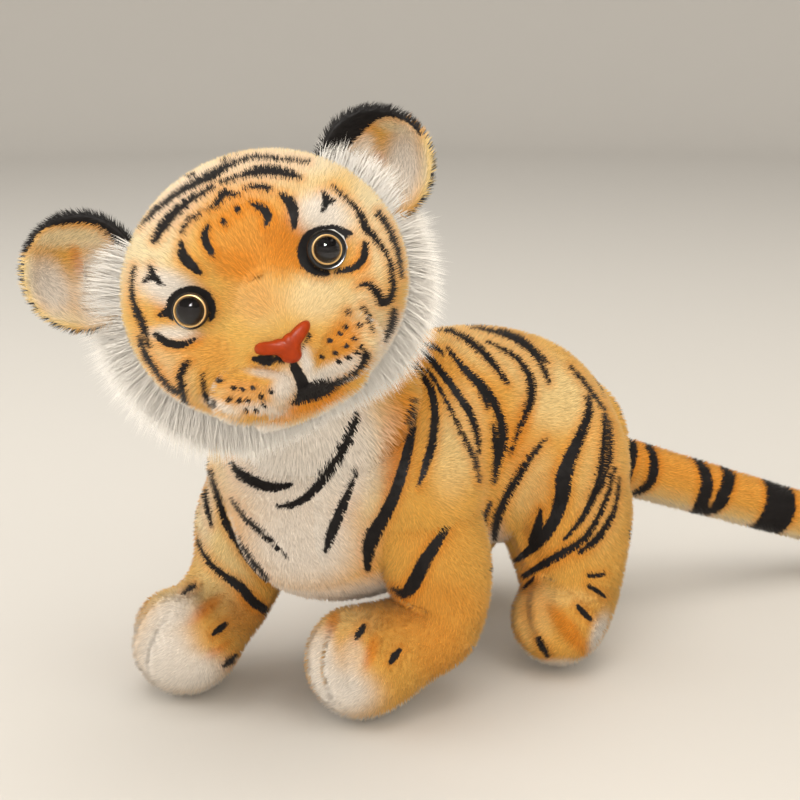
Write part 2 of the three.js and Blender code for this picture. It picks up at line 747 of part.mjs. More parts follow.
// Nose: a moulded wedge with a peg and a washer.
const noseDropShare = 0.2; // of the head's tallness
const noseOutlineShares = [
  [-0.5, 0.3],
  [-0.36, 0.5],
  [0, 0.36],
  [0.36, 0.5],
  [0.5, 0.3],
  [0.32, 0.05],
  [0.12, -0.12],
  [0.1, -0.5],
  [-0.1, -0.5],
  [-0.12, -0.12],
  [-0.32, 0.05],
];
const padOutShare = 0.5;
const padDropShare = 0.3;
const padAheadShare = 0.49;
const chinDropShare = 0.47;
const chinAheadShare = 0.4;
const mouthDropShare = 0.42;
const mouthAheadShare = 0.5;

/** A whisker pad, moved outwards by grow. */
const padForm = (side, grow) => ball(
  [padWidth / 2 + grow, padDepth / 2 + grow, padHeight / 2 + grow],
  [side * padOutShare * padWidth, -padAheadShare * headDepth, -padDropShare * headTallness],
);
const chinForm = (grow) => ball(
  [chinWidth / 2 + grow, padDepth / 2 + grow, padHeight / 3 + grow],
  [0, -chinAheadShare * headDepth, -chinDropShare * headTallness],
);
const noseFrom = new THREE.Vector3(0, 0, -noseDropShare * headTallness);
const noseSeat = seatOnHead(noseFrom, new THREE.Vector3(0, -1, 0));
const noseOutline = new THREE.Shape(noseOutlineShares.map(
  ([x, y]) => new THREE.Vector2(x * noseWidth, y * noseHeight),
));
const nosePlate = new THREE.ExtrudeGeometry(noseOutline, {
  depth: noseThickness,
  bevelEnabled: true,
  bevelThickness: noseThickness / 4,
  bevelSize: noseThickness / 5,
  bevelSegments: 1,
});
const nosePlace = new THREE.Matrix4().compose(
  noseSeat.point,
  new THREE.Quaternion().setFromEuler(new THREE.Euler(90 * degrees, 0, 0)),
  new THREE.Vector3(1, 1, 1),
);
const nosePeg = turned([
  [0, -pegLength],
  [nosePegRadius, -pegLength],
  [nosePegRadius, noseThickness / 2],
  [0, noseThickness / 2],
], eyeSides);
const noseWasher = turned([
  [nosePegRadius + gap, -washerSeat - washerThickness],
  [washerRadius, -washerSeat - washerThickness],
  [washerRadius, -washerSeat],
  [nosePegRadius + gap, -washerSeat],
  [nosePegRadius + gap, -washerSeat - washerThickness],
], eyeSides);
const noseRoom = moved(turned([
  [0, -pegLength - gap],
  [nosePegRadius + gap, -pegLength - gap],
  [nosePegRadius + gap, -washerSeat - washerThickness - gap],
  [washerRadius + gap, -washerSeat - washerThickness - gap],
  [washerRadius + gap, -washerSeat + gap],
  [nosePegRadius + gap, -washerSeat + gap],
  [nosePegRadius + gap, overrun],
  [0, overrun],
], eyeSides), nosePlace);
const padLeft = padForm(1, 0).subtract(skullForm(gap)).subtract(rightHalf(gap / 2));
const padRight = padForm(-1, 0).subtract(skullForm(gap)).subtract(leftHalf(-gap / 2));
const nose = moved(solidOf(nosePlate), nosePlace)
  .subtract(skullForm(gap)).subtract(padForm(1, gap)).subtract(padForm(-1, gap))
  .add(moved(nosePeg, nosePlace));
const mouth = ball(
  [mouthWidth / 2, padDepth / 3, mouthHeight / 2],
  [0, -mouthAheadShare * headDepth, -mouthDropShare * headTallness],
);
addToHead('nose', nose, nosePlastic);
addToHead('nose_washer', moved(noseWasher, nosePlace), washerPlastic);
addToHead('whisker_pad_left', padLeft.subtract(noseRoom), whitePlush);
addToHead('whisker_pad_right', padRight.subtract(noseRoom), whitePlush);
const chin = chinForm(0).subtract(skullForm(gap)).subtract(padForm(1, gap)).subtract(padForm(-1, gap));
addToHead('chin_panel', chin, whitePlush);
const mouthLining = mouth.subtract(skullForm(gap)).subtract(padForm(1, gap))
  .subtract(padForm(-1, gap)).subtract(chinForm(gap));
addToHead('mouth_lining', mouthLining, blackPlush);

// Face panel, back panel and stuffing. The seam runs round the head where the ruffs are sewn in.
const faceSeamShare = 0.03; // of the head's depth
const faceFront = (offset) => behindPlane(
  new THREE.Vector3(0, faceSeamShare * headDepth + offset, 0), new THREE.Vector3(0, 1, 0),
);
const headSkin = skull.subtract(skullForm(-plush)).subtract(faceRoom).subtract(noseRoom);
addToHead('face_panel', headSkin.intersect(faceFront(-gap / 2)), orangePlush);
addToHead('head_back_panel', headSkin.subtract(faceFront(gap / 2)), creamPlush);
addToHead('head_stuffing', skullForm(-plush - gap).subtract(faceRoom).subtract(noseRoom), stuffing);

// Cheek ruffs: long white pile in two crescents round the sides of the face.
const ruffAngles = [-20, -34, -52, -69, -84];
const ruffSizeShares = [0.6, 0.9, 1, 0.85, 0.55];
for (const ruffSide of faceSides) {
  const ruffStations = ruffAngles.map((angle, k) => {
    const out = new THREE.Vector3(
      ruffSide.side * Math.cos(angle * degrees), 0, Math.sin(angle * degrees),
    );
    const rimX = (headWidth / 2) * out.x;
    const rimZ = (headTallness / 2) * out.z;
    return {
      at: new THREE.Vector3(rimX, faceSeamShare * headDepth, rimZ),
      across: out.clone().multiplyScalar((ruffSizeShares[k] * ruffThickness) / 2),
      up: new THREE.Vector3(0, (ruffSizeShares[k] * ruffDepth) / 2, 0),
    };
  });
  const ruff = stuffedForm(ruffStations, {
    sides: limbSides,
    startBulge: ruffThickness / 4,
    endBulge: ruffThickness / 4,
  });
  addToHead(`cheek_ruff_${ruffSide.name}`, ruff.subtract(skullForm(gap)).subtract(neckRoom), longPile);
}

// Ears: a stiff back and a cupped lining, folding about the seam at the root.
const ears = [
  { side: 1, name: 'left', rootOutShare: 0.4, rootUpShare: 0.2 },
  { side: -1, name: 'right', rootOutShare: 0.45, rootUpShare: 0.25 },
];
const earMiddleShare = 0.58; // of the ear's tallness, from its tip down
for (const ear of ears) {
  const direction = new THREE.Vector3(
    ear.side * ear.rootOutShare * headWidth, 0, ear.rootUpShare * headTallness,
  );
  const from = new THREE.Vector3(0, 0, 0);
  const seat = seatOnHead(from, direction);
  const outward = new THREE.Vector3(seat.normal.x, 0, seat.normal.z).normalize();
  const along = new THREE.Vector3().crossVectors(new THREE.Vector3(0, 1, 0), outward);
  const pivot = seat.point.clone().addScaledVector(outward, earRootRadius + gap);
  const group = bodyGroup(`ear_${ear.name}`, ...pivot.clone().add(headMiddle).toArray());
  group.quaternion.setFromRotationMatrix(
    new THREE.Matrix4().makeBasis(along, new THREE.Vector3(0, 1, 0), outward),
  );
  const half = [earWidth / 2, earThickness / 2, earMiddleShare * earTallness];
  const rise = earTallness - half[2];
  const cup = (inset, ahead) => ball(
    half.map((size) => size - inset), [0, -ahead, rise], earSides,
  );
  const aboveRoot = behindPlane(new THREE.Vector3(0, 0, 0), new THREE.Vector3(0, 0, 1));
  const liningFront = earThickness / 2 + earHollowDepth;
  const liningRise = liningFront * Math.sin(earFold * degrees) - earRootRadius;
  const earBack = cup(0, 0).subtract(cup(plush, earHollowDepth)).subtract(aboveRoot)
    .add(barAlongX(earRootRadius, -earWidth / 4, earWidth / 4, limbSides));
  const aboveLining = behindPlane(new THREE.Vector3(0, 0, liningRise), new THREE.Vector3(0, 0, 1));
  const lining = cup(plush + gap, earHollowDepth)
    .subtract(cup(plush + gap + plush / 2, earHollowDepth * 2))
    .subtract(aboveLining);
  addPiece(group, `ear_back_${ear.name}`, earBack, blackPlush);
  addPiece(group, `ear_lining_${ear.name}`, lining, whitePlush);
  headGroup.add(group);
}
tiger.add(headGroup);

// The origin is below the middle of the toy, on the surface that it stands on.
tiger.updateMatrixWorld(true);
const extent = new THREE.Box3().setFromObject(tiger, true);
tiger.position.set(-(extent.min.x + extent.max.x) / 2, -(extent.min.y + extent.max.y) / 2, 0);
tiger.updateMatrixWorld(true);

export default tiger;
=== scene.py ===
import json

import bpy
import numpy as np
from mathutils import Matrix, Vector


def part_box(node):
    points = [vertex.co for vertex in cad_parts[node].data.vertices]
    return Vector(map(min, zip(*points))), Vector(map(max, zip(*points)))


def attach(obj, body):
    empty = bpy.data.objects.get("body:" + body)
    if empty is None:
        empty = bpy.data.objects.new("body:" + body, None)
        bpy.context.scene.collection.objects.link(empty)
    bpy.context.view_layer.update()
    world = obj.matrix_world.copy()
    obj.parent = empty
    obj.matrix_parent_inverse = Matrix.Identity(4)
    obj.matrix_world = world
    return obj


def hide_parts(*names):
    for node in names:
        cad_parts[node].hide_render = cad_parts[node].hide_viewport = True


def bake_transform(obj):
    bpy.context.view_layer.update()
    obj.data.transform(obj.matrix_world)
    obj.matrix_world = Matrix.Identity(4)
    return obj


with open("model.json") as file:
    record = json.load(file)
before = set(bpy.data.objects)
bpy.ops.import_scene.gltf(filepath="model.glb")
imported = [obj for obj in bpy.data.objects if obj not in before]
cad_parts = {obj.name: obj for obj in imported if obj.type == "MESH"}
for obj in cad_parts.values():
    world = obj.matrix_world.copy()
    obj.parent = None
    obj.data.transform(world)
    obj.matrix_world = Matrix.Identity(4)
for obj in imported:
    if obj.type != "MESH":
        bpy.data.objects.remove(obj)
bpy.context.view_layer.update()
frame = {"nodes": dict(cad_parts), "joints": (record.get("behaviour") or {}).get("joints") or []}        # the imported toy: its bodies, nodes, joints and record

# Where the toy stands. Shapes here are in millimetres about a point under the middle of its body: it
# faces -Y and its left side is at +X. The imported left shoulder, whose place is known in these measures,
# says where that point is in the frame.
joint = {row["name"]: row for row in frame["joints"]}
left_shoulder = np.array([24.0, -28.0, 86.0])
under_body = np.array(joint["shoulder_left"]["pos_m"]) * 1000 - left_shoulder


def in_frame(points):
    """The toy's millimetres as the frame's metres."""
    return (np.asarray(points, float) + under_body) / 1000


# Camera. It stands where the photograph was taken from, 52 degrees round from the toy's front and 15
# degrees up, and looks at the middle of the toy's near side.
view_round, view_up, half_view = np.radians([52.0, 15.0, 15.0])
view_distance = 640.0
view_aim = np.array([-18.0, 0.0, 110.0])


def ways_from(turn, rise):
    """The right, top and back ways of a camera or lamp that looks at the toy. Back goes out by the turn
    round the toy and the rise over the floor, right lies level across it, and top is square to both."""
    back = np.array([np.sin(turn) * np.cos(rise), -np.cos(turn) * np.cos(rise), np.sin(rise)])
    right = np.array([np.cos(turn), np.sin(turn), 0.0])
    return right, np.cross(back, right), back


def stand(ways, place):
    """The matrix of a camera or lamp with these ways at a place in the toy's millimetres."""
    rows = np.stack([*ways, in_frame(place)], 1)
    return Matrix([*rows.tolist(), [0, 0, 0, 1]])


view_right, view_top, view_back = ways_from(view_round, view_up)
eye_place = view_aim + view_back * view_distance
camera_data = bpy.data.cameras.new("camera")
camera_data.lens = camera_data.sensor_width / 2 / np.tan(half_view)
camera = bpy.data.objects.new("camera", camera_data)
bpy.context.scene.collection.objects.link(camera)
camera.matrix_world = stand((view_right, view_top, view_back), eye_place)
bpy.context.scene.camera = camera
bpy.context.scene.view_settings.view_transform = "Standard"


# Floor, backdrop and studio light. The floor is a pale round sheet that curves up into a wall all round,
# so no edge shows behind the toy. Wide lamps and an even sky over it stand in for a bright room.
floor_middle, floor_radius, sweep_radius, wall_height = 0.4, 2.2, 0.7, 1.7
floor_sides, sweep_steps = 96, 16
floor_colour, floor_roughness, floor_gloss = (0.65, 0.635, 0.61, 1), 0.85, 0.1
sky_colour, sky_strength = (1.0, 0.95, 0.88, 1), 0.62
lamps = (
    # name, degrees round and up, distance and side in metres, power in watts, colour, and whether it only
    # shows in gloss, as the bright spot in the eyes and on the nose does
    ("window", -36, 18, 1.6, 1.2, 13.5, (1.0, 0.96, 0.89), False),
    ("ceiling", 60, 84, 1.5, 1.5, 16, (1.0, 0.95, 0.86), False),
    ("front", 46, 8, 1.7, 0.9, 13, (1.0, 0.90, 0.78), False),
    ("side", 105, 25, 1.7, 1.4, 8, (1.0, 0.88, 0.72), False),
    ("glint", 50, 40, 1.5, 0.32, 40, (1.0, 0.98, 0.95), True),
)
sweep = np.linspace(0, np.pi / 2, sweep_steps)
wall_radius = floor_radius + sweep_radius
floor_out = np.concatenate([[floor_middle], floor_radius + sweep_radius * np.sin(sweep), [wall_radius]])
floor_rise = np.concatenate([[0], sweep_radius * (1 - np.cos(sweep)), [wall_height]])
round_floor = np.linspace(0, 2 * np.pi, floor_sides, endpoint=False)
floor_rings = [
    np.outer(floor_out, np.cos(round_floor)), np.outer(floor_out, np.sin(round_floor)),
    np.repeat(floor_rise[:, None], floor_sides, 1),
]
floor_points = np.concatenate([np.stack(floor_rings, 2).reshape(-1, 3), [[0, 0, 0]]])
ring, step = np.divmod(np.arange((len(floor_out) - 1) * floor_sides), floor_sides)
low, low_next = ring * floor_sides + step, ring * floor_sides + (step + 1) % floor_sides
floor_faces = np.stack([low, low + floor_sides, low_next + floor_sides, low_next], 1).tolist()
floor_faces += [(len(floor_points) - 1, k, (k + 1) % floor_sides) for k in range(floor_sides)]
floor_mesh = bpy.data.meshes.new("floor")
floor_mesh.from_pydata(floor_points.tolist(), [], floor_faces)
floor_mesh.polygons.foreach_set("use_smooth", np.ones(len(floor_faces), bool))
floor = bpy.data.objects.new("floor", floor_mesh)
bpy.context.scene.collection.objects.link(floor)
floor_finish = bpy.data.materials.new("floor_paint")
floor_finish.use_nodes = True
floor_shader = floor_finish.node_tree.nodes["Principled BSDF"]
floor_shader.inputs["Base Color"].default_value = floor_colour
floor_shader.inputs["Roughness"].default_value = floor_roughness
floor_shader.inputs["Specular IOR Level"].default_value = floor_gloss
floor_mesh.materials.append(floor_finish)

world = bpy.data.worlds.new("room")
world.use_nodes = True
sky = world.node_tree.nodes["Background"]
sky.inputs["Color"].default_value = sky_colour
sky.inputs["Strength"].default_value = sky_strength
bpy.context.scene.world = world
world.cycles_visibility.glossy = False

for name, round_degrees, up_degrees, distance, side, power, colour, in_gloss in lamps:
    ways = ways_from(*np.radians([round_degrees, up_degrees]))
    data = bpy.data.lights.new(name, "AREA")
    data.size, data.energy, data.color = side, power, colour
    lamp = bpy.data.objects.new(name, data)
    lamp.visible_glossy, lamp.visible_diffuse = in_gloss, not in_gloss
    lamp.matrix_world = stand(ways, view_aim + ways[2] * distance * 1000)
    bpy.context.scene.collection.objects.link(lamp)


# Body. Two striped side panels of plush meet along the back, and a white chest and belly panel is sewn
# between them, all knitted backing with the coat printed on its pile. The stuffing swells at the
# shoulders and the hips, where the legs are sewn on.
torso_rows = np.array([
    # aside, along, height, tilt and yaw in degrees, half width, half depth
    [0, 93, 78, 0, 0, 26, 31],
    [0, 72, 85, 0, 0, 36, 43],
    [0, 44, 91, 0, 0, 39, 48],
    [0, 14, 94, 0, 3, 40, 49],
    [0, -22, 89, 22, 9, 40, 55],
    [-3, -48, 92, 40, 15, 38.5, 52],
    [-3, -56, 109, 52, 19, 35, 41],
    [2, -54, 124, 52.4, 23.9, 36, 36],
])
torso_balls = [
    # centre and half sizes of the swellings at the shoulders and the hips
    ([31, -28, 88], [24, 26, 26]), ([-36, -57, 88], [22, 26, 26]),
    ([29, 50, 80], [28, 33, 33]), ([-29, 50, 80], [28, 33, 33]),
]
pile_rise, swell_reach, swell_limit = 1.6, 12, 30


def along_curve(rows, shares):
    """Catmull-Rom curve through rows, read at shares of the way: each point mixes the four rows round it."""
    rows = np.asarray(rows, float)
    last = len(rows) - 1
    spot = np.clip(np.asarray(shares, float) * last, 0, last)
    k = np.minimum(spot.astype(int), last - 1)
    f = (spot - k)[:, None]
    a, b, c, d = (rows[np.clip(k + step, 0, last)] for step in (-1, 0, 1, 2))
    square, cube = 2 * a - 5 * b + 4 * c - d, 3 * b - a - 3 * c + d
    return 0.5 * (2 * b + (c - a) * f + square * f ** 2 + cube * f ** 3)


def unit(vectors):
    """Vectors at length 1."""
    return vectors / np.maximum(np.linalg.norm(vectors, axis=-1, keepdims=True), 1e-9)


def point_normals(points, faces):
    """The way a skin faces at each point: the sum of the crossed sides of the faces round it."""
    a, b, c = (points[faces[:, k]] for k in range(3))
    turned = np.cross(b - a, c - a)
    total = np.zeros_like(points)
    for k in range(3):
        np.add.at(total, faces[:, k], turned)
    return unit(total)


def closed_skin(rings, start, end):
    """A closed skin over n rings of m points, with a pole at each end. U goes round and V along."""
    n, m = rings.shape[:2]
    points = np.concatenate([rings.reshape(-1, 3), [start, end]])
    i, j = np.divmod(np.arange((n - 1) * m), m)
    a, b = i * m + j, i * m + (j + 1) % m
    left, right, low, high = j / m, (j + 1) / m, (i + 1) / (n + 1), (i + 2) / (n + 1)
    k = np.arange(m)
    last = (n - 1) * m
    pole = np.full(m, n * m)
    faces = np.concatenate([
        np.stack([a, b, b + m], 1),
        np.stack([a, b + m, a + m], 1),
        np.stack([pole, (k + 1) % m, k], 1),
        np.stack([pole + 1, last + k, last + (k + 1) % m], 1),
    ])
    ends = np.zeros(m)
    uv = np.concatenate([
        np.stack([left, low, right, low, right, high], 1),
        np.stack([left, low, right, high, left, high], 1),
        np.stack([(k + 0.5) / m, ends, (k + 1) / m, ends + 1 / (n + 1), k / m, ends + 1 / (n + 1)], 1),
        np.stack([(k + 0.5) / m, ends + 1, k / m, ends + n / (n + 1), (k + 1) / m, ends + n / (n + 1)], 1),
    ]).reshape(-1, 3, 2)
    corner = points[faces]
    if np.einsum("ij,ij->", corner[:, 0], np.cross(corner[:, 1], corner[:, 2])) < 0:
        faces, uv = faces[:, ::-1], uv[:, ::-1]
    return {"points": points, "faces": faces, "uv": uv, "normals": point_normals(points, faces)}


def stuffed_skin(at, across, up, rings, sides, bulges, eased=0):
    """Oval rings along a line, with a dome at each end: a ring's point is at + across cos + up sin. Where a
    bend would fold the skin it is eased: each ring moves half way to the mean of its neighbours, so often."""
    fine = np.linspace(0, 1, 400)
    run = np.cumsum(np.linalg.norm(np.diff(along_curve(at, fine), axis=0), axis=1))
    run = np.concatenate([[0], run])
    shares = np.interp(np.linspace(0, run[-1], rings), run, fine)
    at, across, up = (along_curve(rows, shares) for rows in (at, across, up))
    domes, poles = [], []
    for end, inner, bulge in ((0, 1, bulges[0]), (-1, -2, bulges[1])):
        out = unit(np.cross(across[end], up[end]))
        out = out * np.sign(out @ (at[end] - at[inner])) * bulge
        steps = max(2, int(1.6 * bulge / (run[-1] / (rings - 1))))
        angle = np.linspace(0, np.pi / 2, steps + 1)[1:-1, None]
        domes.append((at[end] + out * np.sin(angle), across[end] * np.cos(angle), up[end] * np.cos(angle)))
        poles.append(at[end] + out)
    at, across, up = (
        np.concatenate([first[::-1], middle, last])
        for first, middle, last in zip(domes[0], (at, across, up), domes[1])
    )
    turn = (np.arange(sides) * 2 * np.pi / sides - np.pi / 2)[:, None]
    skin = at[:, None] + across[:, None] * np.cos(turn) + up[:, None] * np.sin(turn)
    for _ in range(eased):
        skin[1:-1] = skin[1:-1] / 2 + (skin[:-2] + skin[2:]) / 4
    return closed_skin(skin, *poles)


def moved_skin(skin, points):
    """The same skin with its points moved."""
    return {**skin, "points": points, "normals": point_normals(points, skin["faces"])}


def sunk(skin, depth):
    """A skin moved in along its normals, such as the backing below its pile."""
    return moved_skin(skin, skin["points"] - skin["normals"] * depth)


def swollen(skin, balls, reach):
    """A skin pushed out along its normals onto its rounded union with balls, found in a few steps. A
    ball's distance is (length of the scaled offset - 1) times its least half size."""
    points, normals = skin["points"], skin["normals"]
    out = np.zeros(len(points))
    for _ in range(10):
        spot = points + normals * out[:, None]
        apart = out.copy()
        for centre, radii in balls:
            scaled = (spot - np.asarray(centre)) / np.asarray(radii)
            other = (np.linalg.norm(scaled, axis=1) - 1) * np.min(radii)
            mix = np.clip(0.5 + 0.5 * (other - apart) / reach, 0, 1)
            apart = other * (1 - mix) + apart * mix - reach * mix * (1 - mix)
        out = np.clip(out - apart, 0, swell_limit)
    return moved_skin(skin, points + normals * out[:, None])


def face_middles(skin):
    """The middle of each face: the mean of its corners."""
    return skin["points"][skin["faces"]].mean(1)


tilt, yaw, half_width, half_depth = (torso_rows[:, k, None] for k in (3, 4, 5, 6))
tilt, yaw = np.radians(tilt), np.radians(yaw)
torso_across = np.hstack([np.cos(yaw), np.sin(yaw), 0 * yaw]) * half_width
torso_up = np.hstack([-np.sin(tilt) * np.sin(yaw), np.sin(tilt) * np.cos(yaw), np.cos(tilt)]) * half_depth
torso = stuffed_skin(torso_rows[:, :3], torso_across, torso_up, rings=96, sides=128, bulges=(15, 12))
torso_balls = [(at, np.array(size) - pile_rise) for at, size in torso_balls]
torso = swollen(sunk(torso, pile_rise), torso_balls, swell_reach)

# Marks and patches are drawn where they show in the photograph, in pixels. A mark's rows are x, y and half
# width. The three rows of patches are those of orange, cream and white.
back_marks = [
    [(422, 349, 2), (438, 367, 3), (456, 391, 3.2), (470, 412, 3.2), (478, 433, 2.6), (480, 453, 1)],
    [(428, 368, .8), (435, 380, 1.2), (449, 405, 1.2), (464, 435, 1.5), (477, 461, 1.5), (481, 482, .8)],
    [(448, 347, 1), (464, 368, 2.6), (480, 383, 4.2), (494, 401, 3.6), (502, 420, 3.8), (504, 438, 4.2),
     (499, 460, 4.2), (495, 484, 1)],
    [(480, 385, 3), (485, 397, 2), (488.5, 409, 1)],
    [(494, 424, 1), (496, 440, 2.5), (498, 456, 3)],
    [(435, 325, 1.5), (454, 331, 2), (472, 341, 3), (489, 357, 3.2), (500, 371, 2.4), (509, 384, .8)],
    [(424, 343, 1.2), (435, 346, 1.8), (444, 354, 1)],
    [(488, 341, .8), (512, 353, 1.8), (525, 366, 2.6), (533, 384, 3.4), (531, 402, 3.2), (525, 418, 2.2),
     (518, 435, 1.6), (511, 455, .8)],
    [(466, 324, 1), (490, 329, 1.8), (513, 337, 2.2), (530, 348, 2.4), (543, 364, 2.2), (550, 383, 1)],
    [(500, 328, .8), (520, 336, 1.5), (537, 350, 1.5), (549, 363, .8)],
    [(572, 366, 1), (590, 388, 1.6), (606, 410, 1.2)],
    [(491, 503, 1), (483, 526, 3), (476, 546, 2)],
]
thigh_marks = [
    [(547, 439, 1), (531, 458, 2.6), (515, 484, 3), (503, 506, 3.6), (497, 524, 3.6), (495, 544, 1.5)],
    [(589, 396, 1.5), (590, 412, 3.5), (581, 436, 4.8), (571, 458, 6.2), (564, 478, 7.5), (563, 494, 7),
     (556, 517, 5.5), (543, 538, 5.5), (528, 552, 3.5), (511, 564, 1)],
    [(540.5, 511, 1), (538, 525, 3.6), (533, 541, 4.6)],
    [(606, 415, 2), (605, 443, 2.6), (602, 473, 3), (592, 501, 3), (579, 524, 2.2), (564, 540, .8)],
    [(611, 420, 1.2), (612, 445, 2), (609, 470, 1.8), (600, 492, 1.2)],
    [(616, 468, .8), (609, 494, 1.6), (598, 519, 2.2), (584, 540, 2.6), (564, 553, 3.4), (543, 565, 3.4),
     (523, 577, 2)],
    [(620, 478, .6), (617, 504, 1.4), (607, 527, 2.8), (594, 543, 3.4), (580, 553, 1.5)],
]
shoulder_marks = [
    [(416, 400, 1.5), (412, 432, 3.5), (405, 462, 4.5), (394, 497, 5), (382, 521, 6), (373, 537, 7),
     (369, 552, 5.5), (368, 571, 2)],
    [(416, 364, 2), (425, 378, 2.5), (432, 392, 3), (435.6, 415, 3.5), (432.5, 445, 3.8), (425, 468, 3),
     (419.5, 487, 1)],
]
chest_marks = [
    [(230, 463, 1.5), (240, 475, 4.5), (257, 484, 4.8), (273, 488, 4.2), (291, 485, 2)],
    [(358, 418, 3), (349, 442, 4), (338, 461, 4.5), (324, 479, 4.2), (310, 495, 3.6), (294, 505, 3),
     (275, 508, 1.2)],
    [(358, 471, .6), (347, 497, 3), (338, 518, 4.6), (332, 534, 4.6), (326, 552, 2)],
    [(230, 499, .8), (243, 518, 1.8), (261, 534, 2.6), (277, 548, 2), (288, 560, .8)],
]
right_shoulder_marks = [
    [(200, 455, 1.6), (202, 487, 2), (207, 511, 2), (211, 526, .8)],
    [(208, 470, .8), (218, 501, 2.6), (226, 524, 3.2), (237, 543, 2.6), (251, 563, 3), (267, 581, 1.6)],
]
body_zones = [
    [(398, 440, 16, 60, 8, .7), (520, 440, 14, 40, 10, .45), (545, 500, 16, 50, 18, .3)],
    # The cream row. Its first two patches, over the rump and along the top of the back, are painted highlight
    # where light falls on the top.
    [(560, 400, 40, 34, 0, .8), (500, 350, 90, 26, 25, .75), (372, 480, 12, 70, 0, .7),
     # The first patch on this line, on the right shoulder, is painted light on the side the lamps fall on.
     (205, 500, 22, 80, 0, .8), (460, 440, 26, 60, 10, .7), (530, 480, 24, 40, 20, .5),
     (600, 480, 26, 70, 0, .4)],
    [(296, 470, 78, 62, 0, 1), (300, 545, 62, 55, 0, 1), (350, 440, 32, 60, 0, .9),
     (488, 560, 12, 34, 20, .9)],
]
rump_bars = ((112, 2.2, 5), (98, 2.6, 8), (84, 2.2, 10))     # height, half width and fall to the sides
photo_side, pixels_a_mm = 800, 2.3
focal_pixels = photo_side / 2 / np.tan(half_view)
mirror = np.array([-1.0, 1.0, 1.0])
unseen = 60.0            # pixels from a mark, past its hairs and its orange spray
full_facing, edge_facing, least_facing = 0.16, 0.14, 0.02


def photo_pixels(points):
    """Where points show in the photograph, by a pinhole camera: offset over depth times the focal length."""
    away = points - eye_place
    depth = -(away @ view_back)
    half = photo_side / 2
    aside, rise = away @ view_right, away @ view_top
    return np.stack([half + focal_pixels * aside / depth, half - focal_pixels * rise / depth], 1)


def mark_distance(pixels, marks):
    """Distance in pixels to the nearest mark, below 0 inside it. A mark's rows are x, y and half width, and
    a curve goes through them."""
    near = np.full(len(pixels), unseen)
    for mark in marks:
        rows = np.array(mark, float)
        rows = along_curve(rows, np.linspace(0, 1, 2 * len(rows) - 1)) if len(rows) > 2 else rows
        for a, b in zip(rows[:-1], rows[1:]):
            line = b[:2] - a[:2]
            t = np.clip((pixels - a[:2]) @ line / (line @ line), 0, 1)
            gap = np.linalg.norm(pixels - a[:2] - t[:, None] * line, axis=1)
            near = np.minimum(near, gap - a[2] - t * (b[2] - a[2]))
    return near


def patch_weight(pixels, patches):
    """How far pixels lie in soft oval patches, 0 to 1. A patch is x, y, two half sizes, a turn in degrees
    and a strength, and fades by the bell curve of its squared distance."""
    clear = np.ones(len(pixels))
    for x, y, half_x, half_y, turn, strength in patches:
        c, s = np.cos(np.radians(turn)), np.sin(np.radians(turn))
        dx, dy = pixels[:, 0] - x, pixels[:, 1] - y
        q = ((dx * c + dy * s) / half_x) ** 2 + ((dy * c - dx * s) / half_y) ** 2
        clear *= 1 - strength * np.exp(-q * q)
    return 1 - clear


def facing_eye(points, normals):
    """How far a surface looks at the photograph's camera, 1 straight on and below 0 away from it."""
    return np.einsum("ij,ij->i", normals, unit(eye_place - points))


def coat(points, normals, marks, zones, other=None, rest=None):
    """The printed coat at some points, as the distance to the nearest mark and the weights of orange, cream
    and white. The side that the photograph shows is read there. The other side is read at the points that
    other gives, such as the mirrored ones, and what neither shows takes the rest."""
    ink = np.full(len(points), unseen)
    zone = np.zeros((len(points), 3))
    known = np.zeros(len(points))
    for place, way in [(points, normals)] + ([other(points, normals)] if other else []):
        facing = facing_eye(place, way)
        sure = np.clip(facing / full_facing, 0, 1) * (1 - known)
        pixels = photo_pixels(place)
        seen = mark_distance(pixels, marks) + np.clip(edge_facing - facing, 0, 1) * unseen
        ink = np.where(sure > least_facing, np.minimum(ink, seen + known * 20), ink)
        for k, patches in enumerate(zones):
            zone[:, k] += sure * patch_weight(pixels, patches)
        known = known + sure
    if rest is not None:
        extra_ink, extra_zone = rest(points, normals)
        ink = np.where(known > 0.5, ink, np.minimum(ink, extra_ink))
        zone += (1 - known)[:, None] * extra_zone
    return ink, np.clip(zone, 0, 1)


def mirrored(points, normals):
    """The same places on the toy's other side."""
    return points * mirror, normals * mirror


def belly_and_rump(points, normals):
    """What the photograph leaves out of the body: a white belly, and bars that cross the rump. A bar's
    height falls by the square of the way out to the side."""
    ink = np.full(len(points), unseen)
    rear = points[:, 1] > 60
    out = np.abs(points[:, 0])
    for height, half, fall in rump_bars:
        line = height - fall * (out / 30) ** 2
        bar = (np.abs(points[:, 2] - line) - half * np.clip(1.2 - out / 28, 0, 1)) * pixels_a_mm
        bar = np.where(out < 9, bar + 12 - out, bar)
        ink = np.where(rear, np.minimum(ink, bar + np.clip(0.5 - normals[:, 1], 0, 1) * unseen), ink)
    zone = np.zeros((len(points), 3))
    zone[:, 1] = 0.3
    zone[:, 2] = np.clip((62 - points[:, 2]) / 14, 0, 1) * np.clip(-normals[:, 2] * 2, 0, 1)
    return ink, zone


def body_coat(points, normals):
    """The coat on the body, with its left side mirrored on its right and a white belly throughout."""
    marks = back_marks + thigh_marks + shoulder_marks + chest_marks + right_shoulder_marks
    ink, zone = coat(points, normals, marks, body_zones, mirrored, belly_and_rump)
    under = np.clip((60 - points[:, 2]) / 12, 0, 1) * np.clip(-normals[:, 2] * 2.5, 0, 1)
    zone[:, 2] = np.maximum(zone[:, 2], under)
    return ink, zone
